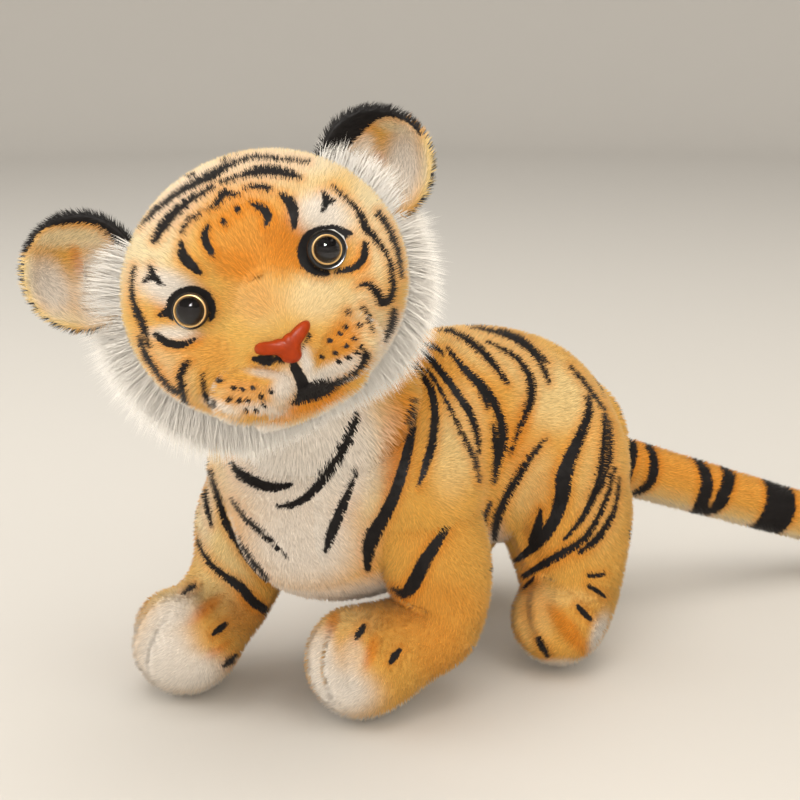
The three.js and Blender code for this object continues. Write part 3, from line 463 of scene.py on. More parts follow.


# The cloth and its pile: how unevenly fibres lean, turn and shade, their least length and thickness and
# how much is added at random, how they start and taper, and how far each faces as the cloth does.
# The second number darkens the cloth under the pile: painted shade where the pile over it shades it.
backing_thickness, painted_backing_shade = 1.2, 0.86
pile_share = 1.0
tilt_spread, swirl_spread, twist_spread, shade_spread = 0.10, 0.13, 0.22, 0.07
least_length, length_spread, least_thickness, thickness_spread = 0.82, 0.3, 0.8, 0.4
root_depth, fibre_taper, colour_height = 0.5, 0.55, 0.7
broad_light, side_light, tip_light = 2.2, 0.6, 0.4


def panel(skin, chosen, thickness):
    """A cloth panel: the chosen faces, the same faces lower down, and a strip that joins their edges."""
    used, faces = np.unique(skin["faces"][chosen], return_inverse=True)
    faces, uv = faces.reshape(-1, 3), skin["uv"][chosen]
    top, normals = skin["points"][used], skin["normals"][used]
    count = len(used)
    sides = np.concatenate([faces[:, pair] for pair in ([0, 1], [1, 2], [2, 0])])
    side_uv = np.concatenate([uv[:, pair] for pair in ([0, 1], [1, 2], [2, 0])])
    open_side = ~np.isin(sides[:, 0] * count + sides[:, 1], sides[:, 1] * count + sides[:, 0])
    a, b = sides[open_side].T
    first, second = side_uv[open_side].transpose(1, 0, 2)
    return {
        "points": np.concatenate([top, top - normals * thickness]),
        "faces": np.concatenate([
            faces, faces[:, ::-1] + count,
            np.stack([b, a, a + count], 1), np.stack([b, a + count, b + count], 1),
        ]),
        "uv": np.concatenate([
            uv, uv[:, ::-1], np.stack([second, first, first], 1), np.stack([second, first, second], 1),
        ]),
        "normals": np.concatenate([normals, -normals]),
        "source": np.concatenate([used, used]),
    }


def fibres(skin, chosen, density, length, comb, lean, half_width, seed, segments=1, bare=None, droop=0.0,
           flat_to=None):
    """Pile on the chosen faces. Roots are spread evenly by area. A fibre is a thin three-sided spike that
    leaves the skin between its normal and the comb's way and sags by its droop. Its broad side faces out
    of the skin, or the way that flat_to gives."""
    rng = np.random.default_rng(seed)
    faces = skin["faces"][chosen]
    corner = skin["points"][faces]
    area = np.linalg.norm(np.cross(corner[:, 1] - corner[:, 0], corner[:, 2] - corner[:, 0]), axis=1) / 2
    count = int(area.sum() * density * pile_share)
    pick = rng.choice(len(faces), count, p=area / area.sum())
    share = rng.random((count, 2))
    share = np.where(share.sum(1, keepdims=True) > 1, 1 - share, share)
    weight = np.stack([1 - share.sum(1), share[:, 0], share[:, 1]], 1)
    root, normal, uv = (
        np.einsum("ij,ijk->ik", weight, rows)
        for rows in (corner[pick], skin["normals"][faces[pick]], skin["uv"][chosen][pick])
    )
    normal = unit(normal)
    if bare is not None:
        keep = ~bare(root, normal)
        root, normal, uv = root[keep], normal[keep], uv[keep]
    count = len(root)
    way = comb(root, normal)
    way = unit(way - normal * np.einsum("ij,ij->i", way, normal)[:, None])
    tilt = lean + tilt_spread * rng.standard_normal(count)
    swirl = swirl_spread * rng.standard_normal((count, 3))
    heading = unit(normal * np.cos(tilt)[:, None] + way * np.sin(tilt)[:, None] + swirl)
    reach = (length(root) * (least_length + length_spread * rng.random(count)))[:, None]
    broad = normal if flat_to is None else flat_to(root, normal)
    side = unit(np.cross(heading, broad + twist_spread * rng.standard_normal((count, 3))))
    other = np.cross(heading, side)
    thick = half_width * (least_thickness + thickness_spread * rng.random(count))
    fall = np.array([0.0, 0.0, -1.0]) * droop
    rows, facing = [], []
    for ring in range(segments):
        t = ring / segments
        middle = root - normal * (root_depth if ring == 0 else 0) + (heading * t + fall * t * t) * reach
        for turn in np.pi / 2 + np.arange(3) * 2 * np.pi / 3:
            out = side * np.cos(turn) + other * np.sin(turn)
            rows.append(middle + out * (thick * (1 - fibre_taper * t))[:, None])
            facing.append(unit(broad * broad_light + out * side_light))
    rows.append(root + (heading + fall) * reach)
    facing.append(unit(broad * broad_light + heading * tip_light))
    per = len(rows)
    pattern = [(0, 2, 1)]
    for low in range(0, segments * 3 - 3, 3):
        for k, n in ((0, 1), (1, 2), (2, 0)):
            pattern += [(low + k, low + n, low + n + 3), (low + k, low + n + 3, low + k + 3)]
    low = segments * 3 - 3
    pattern = np.array(pattern + [(low + k, low + (k + 1) % 3, low + 3) for k in range(3)])
    texel = np.array([[0, 0], [1, 0], [0, 1]]) * 0.0005
    return {
        "points": np.stack(rows, 1).reshape(-1, 3),
        "faces": (np.arange(count)[:, None, None] * per + pattern).reshape(-1, 3),
        "uv": np.repeat(uv, len(pattern), 0)[:, None] + texel,
        "normals": np.stack(facing, 1).reshape(-1, 3),
        "tip": np.tile(np.append(np.repeat(np.arange(segments) / segments, 3), 1.0), count),
        "shade": np.repeat(rng.normal(1.0, shade_spread, count), per),
        "root": root, "show": root + (heading + fall) * reach * colour_height, "facing": normal, "per": per,
    }


def put_mesh(name, points, faces, uv=None, normals=None, values=None):
    """A mesh object from arrays, with its place in its mesh. values are numbers or colours of its points."""
    mesh = bpy.data.meshes.new(name)
    mesh.vertices.add(len(points))
    mesh.vertices.foreach_set("co", in_frame(points).astype(np.float32).ravel())
    mesh.loops.add(faces.size)
    mesh.loops.foreach_set("vertex_index", faces.astype(np.int32).ravel())
    mesh.polygons.add(len(faces))
    mesh.polygons.foreach_set("loop_start", np.arange(0, faces.size, 3, dtype=np.int32))
    mesh.polygons.foreach_set("use_smooth", np.ones(len(faces), bool))
    mesh.update(calc_edges=True)
    if uv is not None:
        layer = mesh.uv_layers.new(name="OFBake")
        layer.uv.foreach_set("vector", np.clip(uv, 0, 1).astype(np.float32).ravel())
    for label, value in (values or {}).items():
        if value.ndim == 1:
            attribute = mesh.attributes.new(label, "FLOAT", "POINT")
            attribute.data.foreach_set("value", value.astype(np.float32))
        else:
            attribute = mesh.attributes.new(label, "FLOAT_COLOR", "POINT")
            full = np.concatenate([value, np.ones((len(value), 1))], 1)
            attribute.data.foreach_set("color", full.astype(np.float32).ravel())
    if normals is not None:
        mesh.normals_split_custom_set_from_vertices(unit(normals).astype(np.float32))
    piece = bpy.data.objects.new(name, mesh)
    bpy.context.scene.collection.objects.link(piece)
    return piece


def plush_piece(name, node, skin, chosen, colours, finish, pile, seed, brush=None,
                thickness=backing_thickness, shade=painted_backing_shade):
    """A panel of a skin with its pile, as one piece that replaces a node. colours reads the coat at points
    with their normals, pile holds what fibres needs, and brush changes the hairs once they stand."""
    cloth = panel(skin, chosen, thickness)
    hair = fibres(skin, chosen, seed=seed, **pile)
    if brush is not None:
        hair = brush(hair)
    cloth_ink, cloth_zone = colours(cloth["points"], skin["normals"][cloth["source"]])
    hair_ink, hair_zone = colours(hair["show"], hair["facing"])
    per, count = hair["per"], len(cloth["points"])
    over_floor = np.maximum(hair["points"], [-1e3, -1e3, 0.15])
    piece = put_mesh(
        name,
        np.concatenate([cloth["points"], over_floor]),
        np.concatenate([cloth["faces"], hair["faces"] + count]),
        np.concatenate([cloth["uv"], hair["uv"]]),
        np.concatenate([cloth["normals"], hair["normals"]]),
        {
            "ink": np.concatenate([cloth_ink, np.repeat(hair_ink, per)]),
            "zones": np.concatenate([cloth_zone, np.repeat(hair_zone, per, 0)]),
            "tip": np.concatenate([np.zeros(count), hair["tip"]]),
            "shade": np.concatenate([np.full(count, shade), hair["shade"]]),
        },
    )
    piece.data.materials.append(finish)
    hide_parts(node)
    return piece


def add_node(tree, kind, output, inputs, **settings):
    """A shader node with its settings, and its inputs set or linked. It gives the output's socket."""
    node = tree.nodes.new("ShaderNode" + kind)
    for label, value in settings.items():
        setattr(node, label, value)
    for label, value in inputs.items():
        if isinstance(value, bpy.types.NodeSocket):
            tree.links.new(value, node.inputs[label])
        else:
            node.inputs[label].default_value = value
    return node.outputs[output]


def math_node(tree, operation, a, b, clamp=False):
    """A Math node on two sockets or numbers."""
    return add_node(tree, "Math", 0, {0: a, 1: b}, operation=operation, use_clamp=clamp)


def noise_node(tree, scale, detail=2.0):
    """Noise on the object's own coordinates, at a scale in turns to the metre."""
    place = add_node(tree, "TexCoord", "Object", {})
    return add_node(tree, "TexNoise", "Fac", {"Vector": place, "Scale": scale, "Detail": detail})


def read_attribute(tree, name, output="Fac"):
    """An attribute of the mesh."""
    return add_node(tree, "Attribute", output, {}, attribute_name=name)


def map_range(tree, value, low, high, to_low, to_high):
    """A smooth Map Range node."""
    inputs = {"Value": value, "From Min": low, "From Max": high, "To Min": to_low, "To Max": to_high}
    return add_node(tree, "MapRange", "Result", inputs, interpolation_type="SMOOTHSTEP")


def mix_colour(tree, amount, a, b):
    """A colour Mix node."""
    return add_node(tree, "Mix", 2, {"Factor": amount, 6: a, 7: b}, data_type="RGBA")


def scaled_colour(tree, colour, amount):
    """A colour times an amount, by a Vector Math node."""
    return add_node(tree, "VectorMath", 0, {0: colour, "Scale": amount}, operation="SCALE")


coat_colours = {
    "Gold": (0.82, 0.45, 0.09, 1),
    "Orange": (0.76, 0.285, 0.025, 1),
    "Cream": (0.87, 0.735, 0.46, 1),
    "White": (0.87, 0.81, 0.735, 1),
    "Ink": (0.012, 0.010, 0.010, 1),
}


def new_group(name, inputs, outputs):
    """An empty node group with these colour or number sockets, with its input and output nodes."""
    group = bpy.data.node_groups.new(name, "ShaderNodeTree")
    for in_out, sockets in (("INPUT", inputs), ("OUTPUT", outputs)):
        for label, kind in sockets.items():
            group.interface.new_socket(label, in_out=in_out, socket_type="NodeSocket" + kind)
    return group, group.nodes.new("NodeGroupInput").outputs, group.nodes.new("NodeGroupOutput").inputs


def printed_coat_group():
    """Gold pile, sprayed orange beside the marks, with cream and white parts and black hairy-edged marks."""
    tree, given, made = new_group(
        "printed_coat", {**{label: "Color" for label in coat_colours}, "Halo": "Float", "Drift": "Float"},
        {"Color": "Color", "Mark": "Float"},
    )
    ink = read_attribute(tree, "ink")
    zones = tree.nodes.new("ShaderNodeSeparateColor")
    tree.links.new(read_attribute(tree, "zones", "Color"), zones.inputs[0])
    orange, cream, white = zones.outputs
    fine = math_node(tree, "MULTIPLY", math_node(tree, "SUBTRACT", noise_node(tree, 700), 0.5), 3.0)
    broad = math_node(tree, "SUBTRACT", noise_node(tree, 28, 3), 0.5)
    mark = map_range(tree, math_node(tree, "ADD", ink, fine), 0.1, 1.5, 1, 0)
    halo = math_node(tree, "MULTIPLY", map_range(tree, ink, 0, 11, 1, 0), given["Halo"])
    drift = math_node(tree, "MULTIPLY", broad, given["Drift"])
    warm = math_node(tree, "ADD", math_node(tree, "ADD", orange, halo), drift, clamp=True)
    # Painted shade and light: each fibre is darker at its root, deep in the pile, and lighter at its tip.
    painted_root_shade_tip_light = map_range(tree, read_attribute(tree, "tip"), 0, 1, 0.86, 1.08)
    shade = math_node(tree, "MULTIPLY", read_attribute(tree, "shade"), painted_root_shade_tip_light)
    colour = given["Gold"]
    for amount, label in ((cream, "Cream"), (warm, "Orange"), (white, "White")):
        colour = mix_colour(tree, amount, colour, given[label])
    colour = mix_colour(tree, mark, scaled_colour(tree, colour, shade), given["Ink"])
    tree.links.new(colour, made["Color"])
    tree.links.new(mark, made["Mark"])
    return tree


printed_coat = printed_coat_group()


def new_finish(name, group):
    """A new material with a node group in it: its tree, shader and group node."""
    finish = bpy.data.materials.new(name)
    finish.use_nodes = True
    tree = finish.node_tree
    node = tree.nodes.new("ShaderNodeGroup")
    node.node_tree = group
    return finish, tree, tree.nodes["Principled BSDF"], node


def plush_finish(name, halo=0.5, drift=0.35, sheen=0.1, **changes):
    """Printed plush: the coat's colours on a dull, slightly glowing pile whose black parts shine a little."""
    finish, tree, shader, group = new_finish(name, printed_coat)
    for label, value in {**coat_colours, **changes, "Halo": halo, "Drift": drift}.items():
        group.inputs[label].default_value = value
    tree.links.new(group.outputs["Color"], shader.inputs["Base Color"])
    tree.links.new(map_range(tree, group.outputs["Mark"], 0, 1, 0.9, 0.62), shader.inputs["Roughness"])
    shader.inputs["Specular IOR Level"].default_value = 0.15
    shader.inputs["Sheen Weight"].default_value = sheen
    shader.inputs["Sheen Roughness"].default_value = 0.5
    return finish


def even(length):
    """A pile of one length."""
    return lambda root: np.full(len(root), float(length))


def laid(way):
    """A pile that lies one way all over."""
    return lambda root, normal: np.asarray(way) + 0 * root


orange_plush = plush_finish("orange_plush", Cream=(0.88, 0.69, 0.34, 1))
# Its white is the cloth's off-white tinted warmer: painted warm light, as if bounced up from below.
white_plush = plush_finish("white_plush", White=(0.88, 0.80, 0.71, 1))
body_pile = dict(density=1.6, length=even(2.7), comb=laid([0.0, 1.0, -0.7]), lean=0.75, half_width=0.26)
x, y, z = face_middles(torso).T
chest_faces = (np.abs(x) < 23) & (((z < 60) & (y < 78)) | (y < -47))
for seed, name, chosen, finish, slot in (
    (11, "chest_belly_panel", chest_faces, white_plush, "white_plush"),
    (12, "body_side_left", ~chest_faces & (x >= 0), orange_plush, "orange_plush"),
    (13, "body_side_right", ~chest_faces & (x < 0), orange_plush, "orange_plush"),
):
    piece = plush_piece(name + "_plush", name, torso, chosen, body_coat, finish, body_pile, seed)
    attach(piece, "body")


# Front legs. Each is an outer and an inner panel over a bent stuffed form: a broad shoulder, a short arm
# and a heavy paw pressed flat on the table, with stitches that draw the toes apart.
elbow_out, paw_out, elbow_drop = 14.0, 6.5, 50.0
leg_easing, body_hides_over, sole_height = 16, 74.0, 0.2
toe_width, toe_front, toe_low, toe_fade = 4.2, 4, 14, 12
front_legs = {
    "left": dict(side=1, shoulder_out=10.8, elbow_ahead=-7.0, paw_ahead=31.0),
    "right": dict(side=-1, shoulder_out=17.3, elbow_ahead=16.7, paw_ahead=46.0),
}
hidden_bars = ((98, .25), (74, .3), (50, .3))     # height, and rise along the leg
arm_marks = shoulder_marks[:1] + [
    [(460, 486, 1), (454, 511, 2.2), (441, 537, 4), (426, 560, 6), (414, 583, 6.5), (404, 595, 4.5),
     (392, 590, 1.5)],
    [(364, 626, 1.8), (360, 632, 3), (356, 638, 1.5)],
    [(400, 650, 1.5), (395, 656, 3), (390, 663, 1.5)],
    [(309, 621, 1), (304, 634, 1)],
]
right_arm_marks = right_shoulder_marks + [
    [(194, 537, .8), (204, 557, 2), (218, 572, 2.6), (240, 587, 4), (253, 602, 4.2), (267, 612, 3.2),
     (277, 624, 1)],
    [(194, 585, 1.5), (189, 588, 2.6), (184, 591, 1)],
    [(226, 624, 1.5), (220, 629, 3), (214, 634, 1.5)],
    [(237, 657, 1.5), (231, 662, 3.4), (225, 667, 1.5)],
    [(167, 578, 1), (158, 581, 1)],
]
arm_zones = [
    [(398, 440, 16, 60, 8, .7), (430, 510, 40, 60, 0, .3), (430, 610, 60, 34, 0, .55),
     (331, 622, 7, 18, 12, .9), (371, 652, 7, 20, 20, .9), (445, 660, 34, 30, 40, .5)],
    [(372, 480, 12, 70, 0, .6), (350, 622, 30, 16, 0, .4)],
    [(335, 692, 44, 30, 10, 1), (318, 660, 20, 34, 0, .9), (352, 655, 14, 18, 0, .5)],
]
right_arm_zones = [
    [(250, 616, 20, 30, -30, .5), (204, 610, 24, 7, -38, .9), (216, 652, 20, 5, -35, .8)],
    # The cream row. Its first patch, down the upper leg, is painted light on the side the lamps fall on.
    [(215, 530, 34, 80, -15, .95), (185, 590, 40, 16, -10, .6)],
    [(160, 655, 38, 46, 0, 1), (190, 675, 42, 24, 0, 1), (172, 612, 28, 18, -30, .9),
     (204, 500, 12, 50, 0, .4)],
]


def joint_point(name):
    """The place that a joint turns about, in the toy's millimetres."""
    return np.array(joint[name]["pos_m"]) * 1000 - under_body


def limb_frames(at, half_widths, half_depths):
    """The half axes of a limb's rings: across is the toy's X square to the limb, up is square to both."""
    at = np.asarray(at, float)
    way = unit(np.gradient(at, axis=0))
    side = np.array([1.0, 0.0, 0.0])
    across = unit(side - way * (way @ side)[:, None])
    up = np.cross(way, across)
    return across * np.asarray(half_widths, float)[:, None], up * np.asarray(half_depths, float)[:, None]


def toed(skin, paw, gap, depth, out, lean):
    """A paw with grooves between its toes: the skin sinks near planes across the front, which may stand
    out to one side and lean. A groove's depth falls off by the bell curve of the way from its plane."""
    points = skin["points"]
    dx, dy, dz = (points - paw).T
    front = np.clip((-dy - toe_front) / toe_fade, 0, 1) * np.clip((dz + toe_low) / toe_fade, 0, 1)
    sink = np.zeros(len(points))
    for k in (-0.5, 0.5):
        sink = np.maximum(sink, np.exp(-((dx - out + lean * dz - k * gap) / toe_width) ** 2))
    points = points - skin["normals"] * (sink * front * depth)[:, None]
    return moved_skin(skin, np.maximum(points, [-1e3, -1e3, sole_height]))


def leg_skin(hinge, side, rows, rings, sides, bulges, eased, toes):
    """The whole skin of a leg. Its rows are out, ahead and drop from the hinge, and the half width and
    depth. toes holds the gap, depth, way out and lean of the grooves."""
    at = hinge + np.stack([rows[:, 0] * side, -rows[:, 1], -rows[:, 2]], 1)
    form = (at, *limb_frames(at, rows[:, 3], rows[:, 4]))
    skin = sunk(stuffed_skin(*form, rings, sides, bulges, eased), pile_rise)
    gap, depth, out, lean = toes
    return {**toed(skin, at[-1], gap, depth, out * side, lean * side), "form": form}


def drawn(marks, zones, rest):
    """A piece's coat: its own marks and patches where the photograph shows it, and the rest behind."""
    return lambda points, normals: coat(points, normals, marks, zones, rest=rest)


def leg_bars(points, normals):
    """Bars that cross the sides of a leg that the photograph doesn't show."""
    ink = np.full(len(points), unseen)
    for height, slope in hidden_bars:
        line = height + slope * (points[:, 1] % 40 - 20)
        ink = np.minimum(ink, (np.abs(points[:, 2] - line) - 2.0) * pixels_a_mm)
    hidden = np.clip(0.1 - facing_eye(points, normals), 0, 1)
    zone = np.tile([0.1, 0.3, 0.0], (len(points), 1))
    zone[:, 2] = np.clip((16 - points[:, 2]) / 10, 0, 1)
    return ink + np.where(hidden > 0, 0, unseen), zone


def limb_comb(root, normal):
    """The pile lies down the leg, and forwards on the paw."""
    low = np.clip((46 - root[:, 2]) / 14, 0, 1)[:, None]
    return np.array([0.0, 0.15, -1.0]) * (1 - low) + np.array([0.0, -1.0, -0.25]) * low


limb_pile = dict(density=1.6, length=even(2.6), comb=limb_comb, lean=0.7, half_width=0.26)
leg_forms = {}


def bend(piece, first, second, start, end):
    """The piece's place is baked into its mesh. first, second, start and end are not used."""
    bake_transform(piece)


def add_leg(name, skin, seam, side, hinge, colours, seed):
    """The outer and inner panels of a leg. They meet where its skin is as far out from the hinge as the
    seam, and no pile stands where the leg's skin lies well inside the body."""
    def inside_body(root, normal):
        return (root[:, 2] > body_hides_over) & ((root[:, 0] - hinge[0]) * side < 0)

    crossing = ("body", name, hinge + [0, 0, 12], hinge - [0, 0, 26])
    leg_forms[name] = skin["form"], crossing
    across = (face_middles(skin)[:, 0] - hinge[0]) * side
    pile = {**limb_pile, "bare": inside_body}
    for part, slot, chosen in (
        ("outer", "orange_plush", across > seam),
        ("inner", "cream_plush", across <= seam),
    ):
        node = f"{name}_{part}"
        piece = plush_piece(node + "_plush", node, skin, chosen, colours, orange_plush, pile, seed)
        bend(piece, *crossing)
        seed += 1


for side_name, leg in front_legs.items():
    s, e, p = leg["shoulder_out"], leg["elbow_ahead"], leg["paw_ahead"]
    rows = np.array([
        [s - 9, 0, -4, 17, 19],
        [s - 4, 0, 6, 21, 24],
        [(s + elbow_out) / 2, e * 0.45, 25, 21.5, 23.5],
        [elbow_out, e * 0.8, 42, 19.5, 20.5],
        [elbow_out, e + (p - e) * 0.12, 53, 19, 19.5],
        [elbow_out * 0.6 + paw_out * 0.4, e + (p - e) * 0.45, 58.5, 19.5, 19],
        [elbow_out * 0.2 + paw_out * 0.8, e + (p - e) * 0.78, 62.5, 22.5, 22],
        [paw_out, p, 63.3, 23.2, 23],
    ])
    leg["hinge"] = joint_point(f"shoulder_{side_name}")
    leg["skin"] = leg_skin(
        leg["hinge"], leg["side"], rows, rings=96, sides=112, bulges=(22, 21), eased=leg_easing,
        toes=(13.5, 3.6, 6.0, 0.25),
    )


def twin_leg(points, normals):
    """Where points of the right front leg lie on the left one: the same height, out and way from its line."""
    left, right = front_legs["left"], front_legs["right"]
    drop = right["hinge"][2] - points[:, 2]
    low = np.clip((drop - 25) / 30, 0, 1)
    between = left["hinge"][1] - right["hinge"][1]
    shift_arm = between + (right["elbow_ahead"] - left["elbow_ahead"]) * np.clip(drop / elbow_drop, 0, 1)
    shift_paw = between + (right["paw_ahead"] - left["paw_ahead"])
    moved = points * mirror
    moved[:, 1] += shift_arm * (1 - low) + shift_paw * low
    return moved, normals * mirror


left_arm_coat = drawn(arm_marks, arm_zones, leg_bars)


def right_arm_coat(points, normals):
    """The coat on the right front leg: its own where it shows, and the left leg's on its outer side."""
    ink, zone = coat(points, normals, right_arm_marks, right_arm_zones)
    far_ink, far_zone = left_arm_coat(*twin_leg(points, normals))
    shown = np.clip(facing_eye(points, normals) / full_facing, 0, 1)
    return np.where(shown > least_facing, ink, far_ink), zone + far_zone * (1 - shown)[:, None]


for side_name, colours, seed in (("left", left_arm_coat, 21), ("right", right_arm_coat, 23)):
    leg = front_legs[side_name]
    add_leg(f"front_leg_{side_name}", leg["skin"], elbow_out, leg["side"], leg["hinge"], colours, seed)


# Hind legs. Each is an outer and an inner panel: a full round thigh that sinks into the rump, and a
# short foot that points ahead and out, with toe stitches as on the front paws.
hind_rows = np.array([
    # out, ahead, drop, half width, half depth
    [-2, 0, -8, 22, 25],
    [3.5, 0, 3, 29, 32],
    [10, -1, 20, 28, 30],
    [15, 1.5, 38, 22, 26],
    [18, 4.5, 49, 20, 24],
    [20, 9.5, 55, 20.5, 21.5],
    [22.4, 16, 57.3, 21, 21],
])
hock_out, ankle_easing = 18.0, 100
hind_marks = thigh_marks + [
    [(589, 576, 1), (597, 576, 1.5), (605, 574, 1)],
    [(588, 586, .8), (597, 591, 1.8), (605, 597, .8)],
    [(577.5, 606, 1.2), (584, 613, 2.6), (591, 620, 1.2)],
    [(512, 637, 1.2), (515.5, 647, 2.4), (519, 656, 1.2)],
    [(537, 639, 1.2), (542, 648, 2.8), (547, 657, 1.2)],
    [(523, 588, .8), (533, 579, 1)],
]
hind_zones = [
    [(545, 480, 20, 60, 18, .4), (568, 630, 10, 34, -38, 1), (555, 560, 40, 16, -20, .35),
     (530, 600, 16, 30, 0, .4)],
    # The cream row. Its first patch, over the top of the rump and thigh, is painted highlight where light
    # falls on it.
    [(560, 400, 40, 34, 0, .8), (530, 480, 24, 40, 20, .5), (600, 480, 26, 70, 0, .4),
     (530, 610, 26, 40, 0, .4), (560, 598, 40, 10, 0, .3)],
    [(602, 640, 12, 27, 10, 1), (560, 668, 44, 8, 0, .8)],
]


def hind_coat(points, normals):
    """The coat on a hind leg. The right one is the left one's mirror image."""
    if points[:, 0].mean() < 0:
        points, normals = mirrored(points, normals)
    return coat(points, normals, hind_marks, hind_zones, rest=leg_bars)


for side_name, side, seed in (("left", 1, 31), ("right", -1, 33)):
    hinge = joint_point(f"hip_{side_name}")
    skin = leg_skin(
        hinge, side, hind_rows, rings=88, sides=104, bulges=(22, 19), eased=ankle_easing,
        toes=(14, 3.4, 7.0, 0.6),
    )
    add_leg(f"hind_leg_{side_name}", skin, hock_out, side, hinge, hind_coat, seed)


# Tail. A long stuffed tube in two lengths, orange above and cream below, with black rings. The first
# length starts at the rump and the second goes on from the first.
tail_root = joint_point("tail_lift")
tail_way = unit(joint_point("tail_bend") - tail_root)
tail_length, tail_split = 184.0, 58.0
tail_up = unit(np.cross(np.array(joint["tail_lift"]["axis"]), tail_way))
tail_side = np.cross(tail_way, tail_up)
tail_radii = np.array([(-14, 12), (0, 13.6), (40, 13.2), (88, 12.4), (140, 11.6), (172, 11)])
tail_rings = [
    # a pair of black rings: middle along the tail, half spread at the top, side and bottom, half width
    (13, 4.9, 6.4, 0.5, 2.3), (53.5, 8, 4.8, 0.8, 3.3), (90, 4, 4, 4, 4.2), (119, 7.5, 4.2, 0.8, 3.1),
    (150, 4, 4, 4, 4), (178, 8, 8, 8, 9),
]


def tail_coat(points, normals):
    """Black rings by the distance along the tail and the way round it, on orange that pales underneath."""
    away = points - tail_root
    along = away @ tail_way
    high = unit(away - along[:, None] * tail_way) @ tail_up
    ink = np.full(len(points), unseen)
    for middle, top, side, bottom, half in tail_rings:
        spread = side + (top - side) * np.clip(high, 0, 1) ** 2 + (bottom - side) * np.clip(-high, 0, 1) ** 2
        for sign in (-1, 1):
            ink = np.minimum(ink, (np.abs(along - middle - sign * spread) - half) * pixels_a_mm)
    return ink, np.stack([
        np.clip(0.3 + 0.4 * high, 0, 0.5), np.clip(-high, 0, 0.8), np.clip(-high - 0.55, 0, 0.4),
    ], 1)


def on_tail(along):
    """A place along the tail's middle line."""
    return tail_root + tail_way * along


tail_spots, tail_size = tail_radii[:, :1], tail_radii[:, 1:]
tail_skin = sunk(stuffed_skin(
    on_tail(tail_spots), tail_side * tail_size, tail_up * tail_size, rings=110, sides=48, bulges=(6, 10),
), pile_rise)
tail_along = (face_middles(tail_skin) - tail_root) @ tail_way
tail_pile = dict(density=1.7, length=even(2.7), comb=laid(tail_way), lean=0.8, half_width=0.26)
tail_parts = {
    # the faces and the seed of each length, and where it crosses its joint
    "tail_base": (tail_along < tail_split, 41, ("body", "tail_base", on_tail(0), on_tail(26))),
    "tail_end": (tail_along >= tail_split, 42, ("tail_base", "tail_end", on_tail(68), on_tail(108))),
}
for name, (chosen, seed, crossing) in tail_parts.items():
    piece = plush_piece(
        name + "_plush", name + "_skin", tail_skin, chosen, tail_coat, orange_plush,
        tail_pile, seed,
    )
    bend(piece, *crossing)


# Neck. A short plush sleeve, stuffed and sewn between the body and the head, where the ruffs hide it.
# It carries the body's stripes on, and is white in front.
neck_foot = joint_point("neck_turn")
neck_way = np.array(joint["neck_turn"]["axis"])
neck_way = neck_way * np.sign(neck_way[2])
neck_side = unit(np.cross(neck_way, [0.0, 1.0, 0.0]))
neck_up = np.cross(neck_way, neck_side)
neck_rows = np.array([(-14, 31), (-4, 36.5), (8, 36), (20, 34.5), (32, 31), (44, 26)])
neck_form = (
    neck_foot + neck_rows[:, :1] * neck_way, neck_side * neck_rows[:, 1:], neck_up * neck_rows[:, 1:],
)
neck_skin = stuffed_skin(*neck_form, rings=30, sides=80, bulges=(6, 8))
cream_plush = plush_finish("cream_plush")


def neck_coat(points, normals):
    """The coat on the neck."""
    ink, zone = coat(points, normals, shoulder_marks + chest_marks, body_zones, mirrored)
    zone[:, 2] = np.maximum(zone[:, 2], np.clip(0.5 - normals[:, 1] * 1.5, 0, 1))
    return ink, zone


def every_face(skin):
    """All the faces of a skin."""
    return np.ones(len(skin["faces"]), bool)


neck_crossing = ("body", "neck", neck_foot - neck_way * 10, neck_foot + neck_way * 22)
neck_pile = dict(density=0.8, length=even(4.5), comb=laid(-neck_way), lean=0.7, half_width=0.32)
piece = plush_piece(
    "neck_plush", "neck_sleeve", neck_skin, every_face(neck_skin), neck_coat, cream_plush,
    neck_pile, 51,
)
bend(piece, *neck_crossing)


# Head. A face panel and a back panel over one stuffed form, turned to the toy's left and tilted. Brows,
# the bridge of the nose and the cheeks are stuffed out, and the eyes sit in slight hollows.
head_middle = np.array([18.0, -90.0, 175.0])
head_yaw, head_pitch, head_roll = np.radians([57.0, 10.0, 24.0])
face_rise, pad_reach = 2.6, 7
head_rows = np.array([
    # along from the middle to the back, height, half width, half height
    [44, 2, 26, 25],
    [30, 2, 42, 39],
    [8, 1, 51.5, 48],
    [-14, 0, 52.5, 48.5],
    [-31, -3, 45.5, 42],
    [-42, -9, 34, 33],
    [-50, -18, 22, 22],
])
face_forms = [
    # bulges and hollows: across, up, two half sizes, and how far the skin moves out, in millimetres
    (0, -6, 11, 18, 6.0), (0, 20, 18, 12, 1.5), (20, 18, 12, 7, 3.0), (-21, 18, 12, 7, 3.0),
    (23.7, 3.0, 9, 8, -3.0), (-25.5, 3.6, 9, 8, -3.0), (36, -16, 14, 13, 3.0), (-37, -16, 14, 13, 3.0),
    (0, -17, 16, 9, 3.0), (12, 2, 5, 8, -1.5), (-12.5, 2, 5, 8, -1.5),
]
pads = {
    # centre and half sizes of each pad, how deep its bed in the face is, and how far in its backing lies
    "whisker_pad_left": ([14.5, -48.5, -28.5], [15, 13.5, 11.5], 1.8, 1.7),
    "whisker_pad_right": ([-17, -48.5, -29], [16.5, 13.5, 11.5], 1.8, 1.7),
    "chin_panel": ([-3, -37, -41], [22, 12, 7], 0.0, 3.2),
}
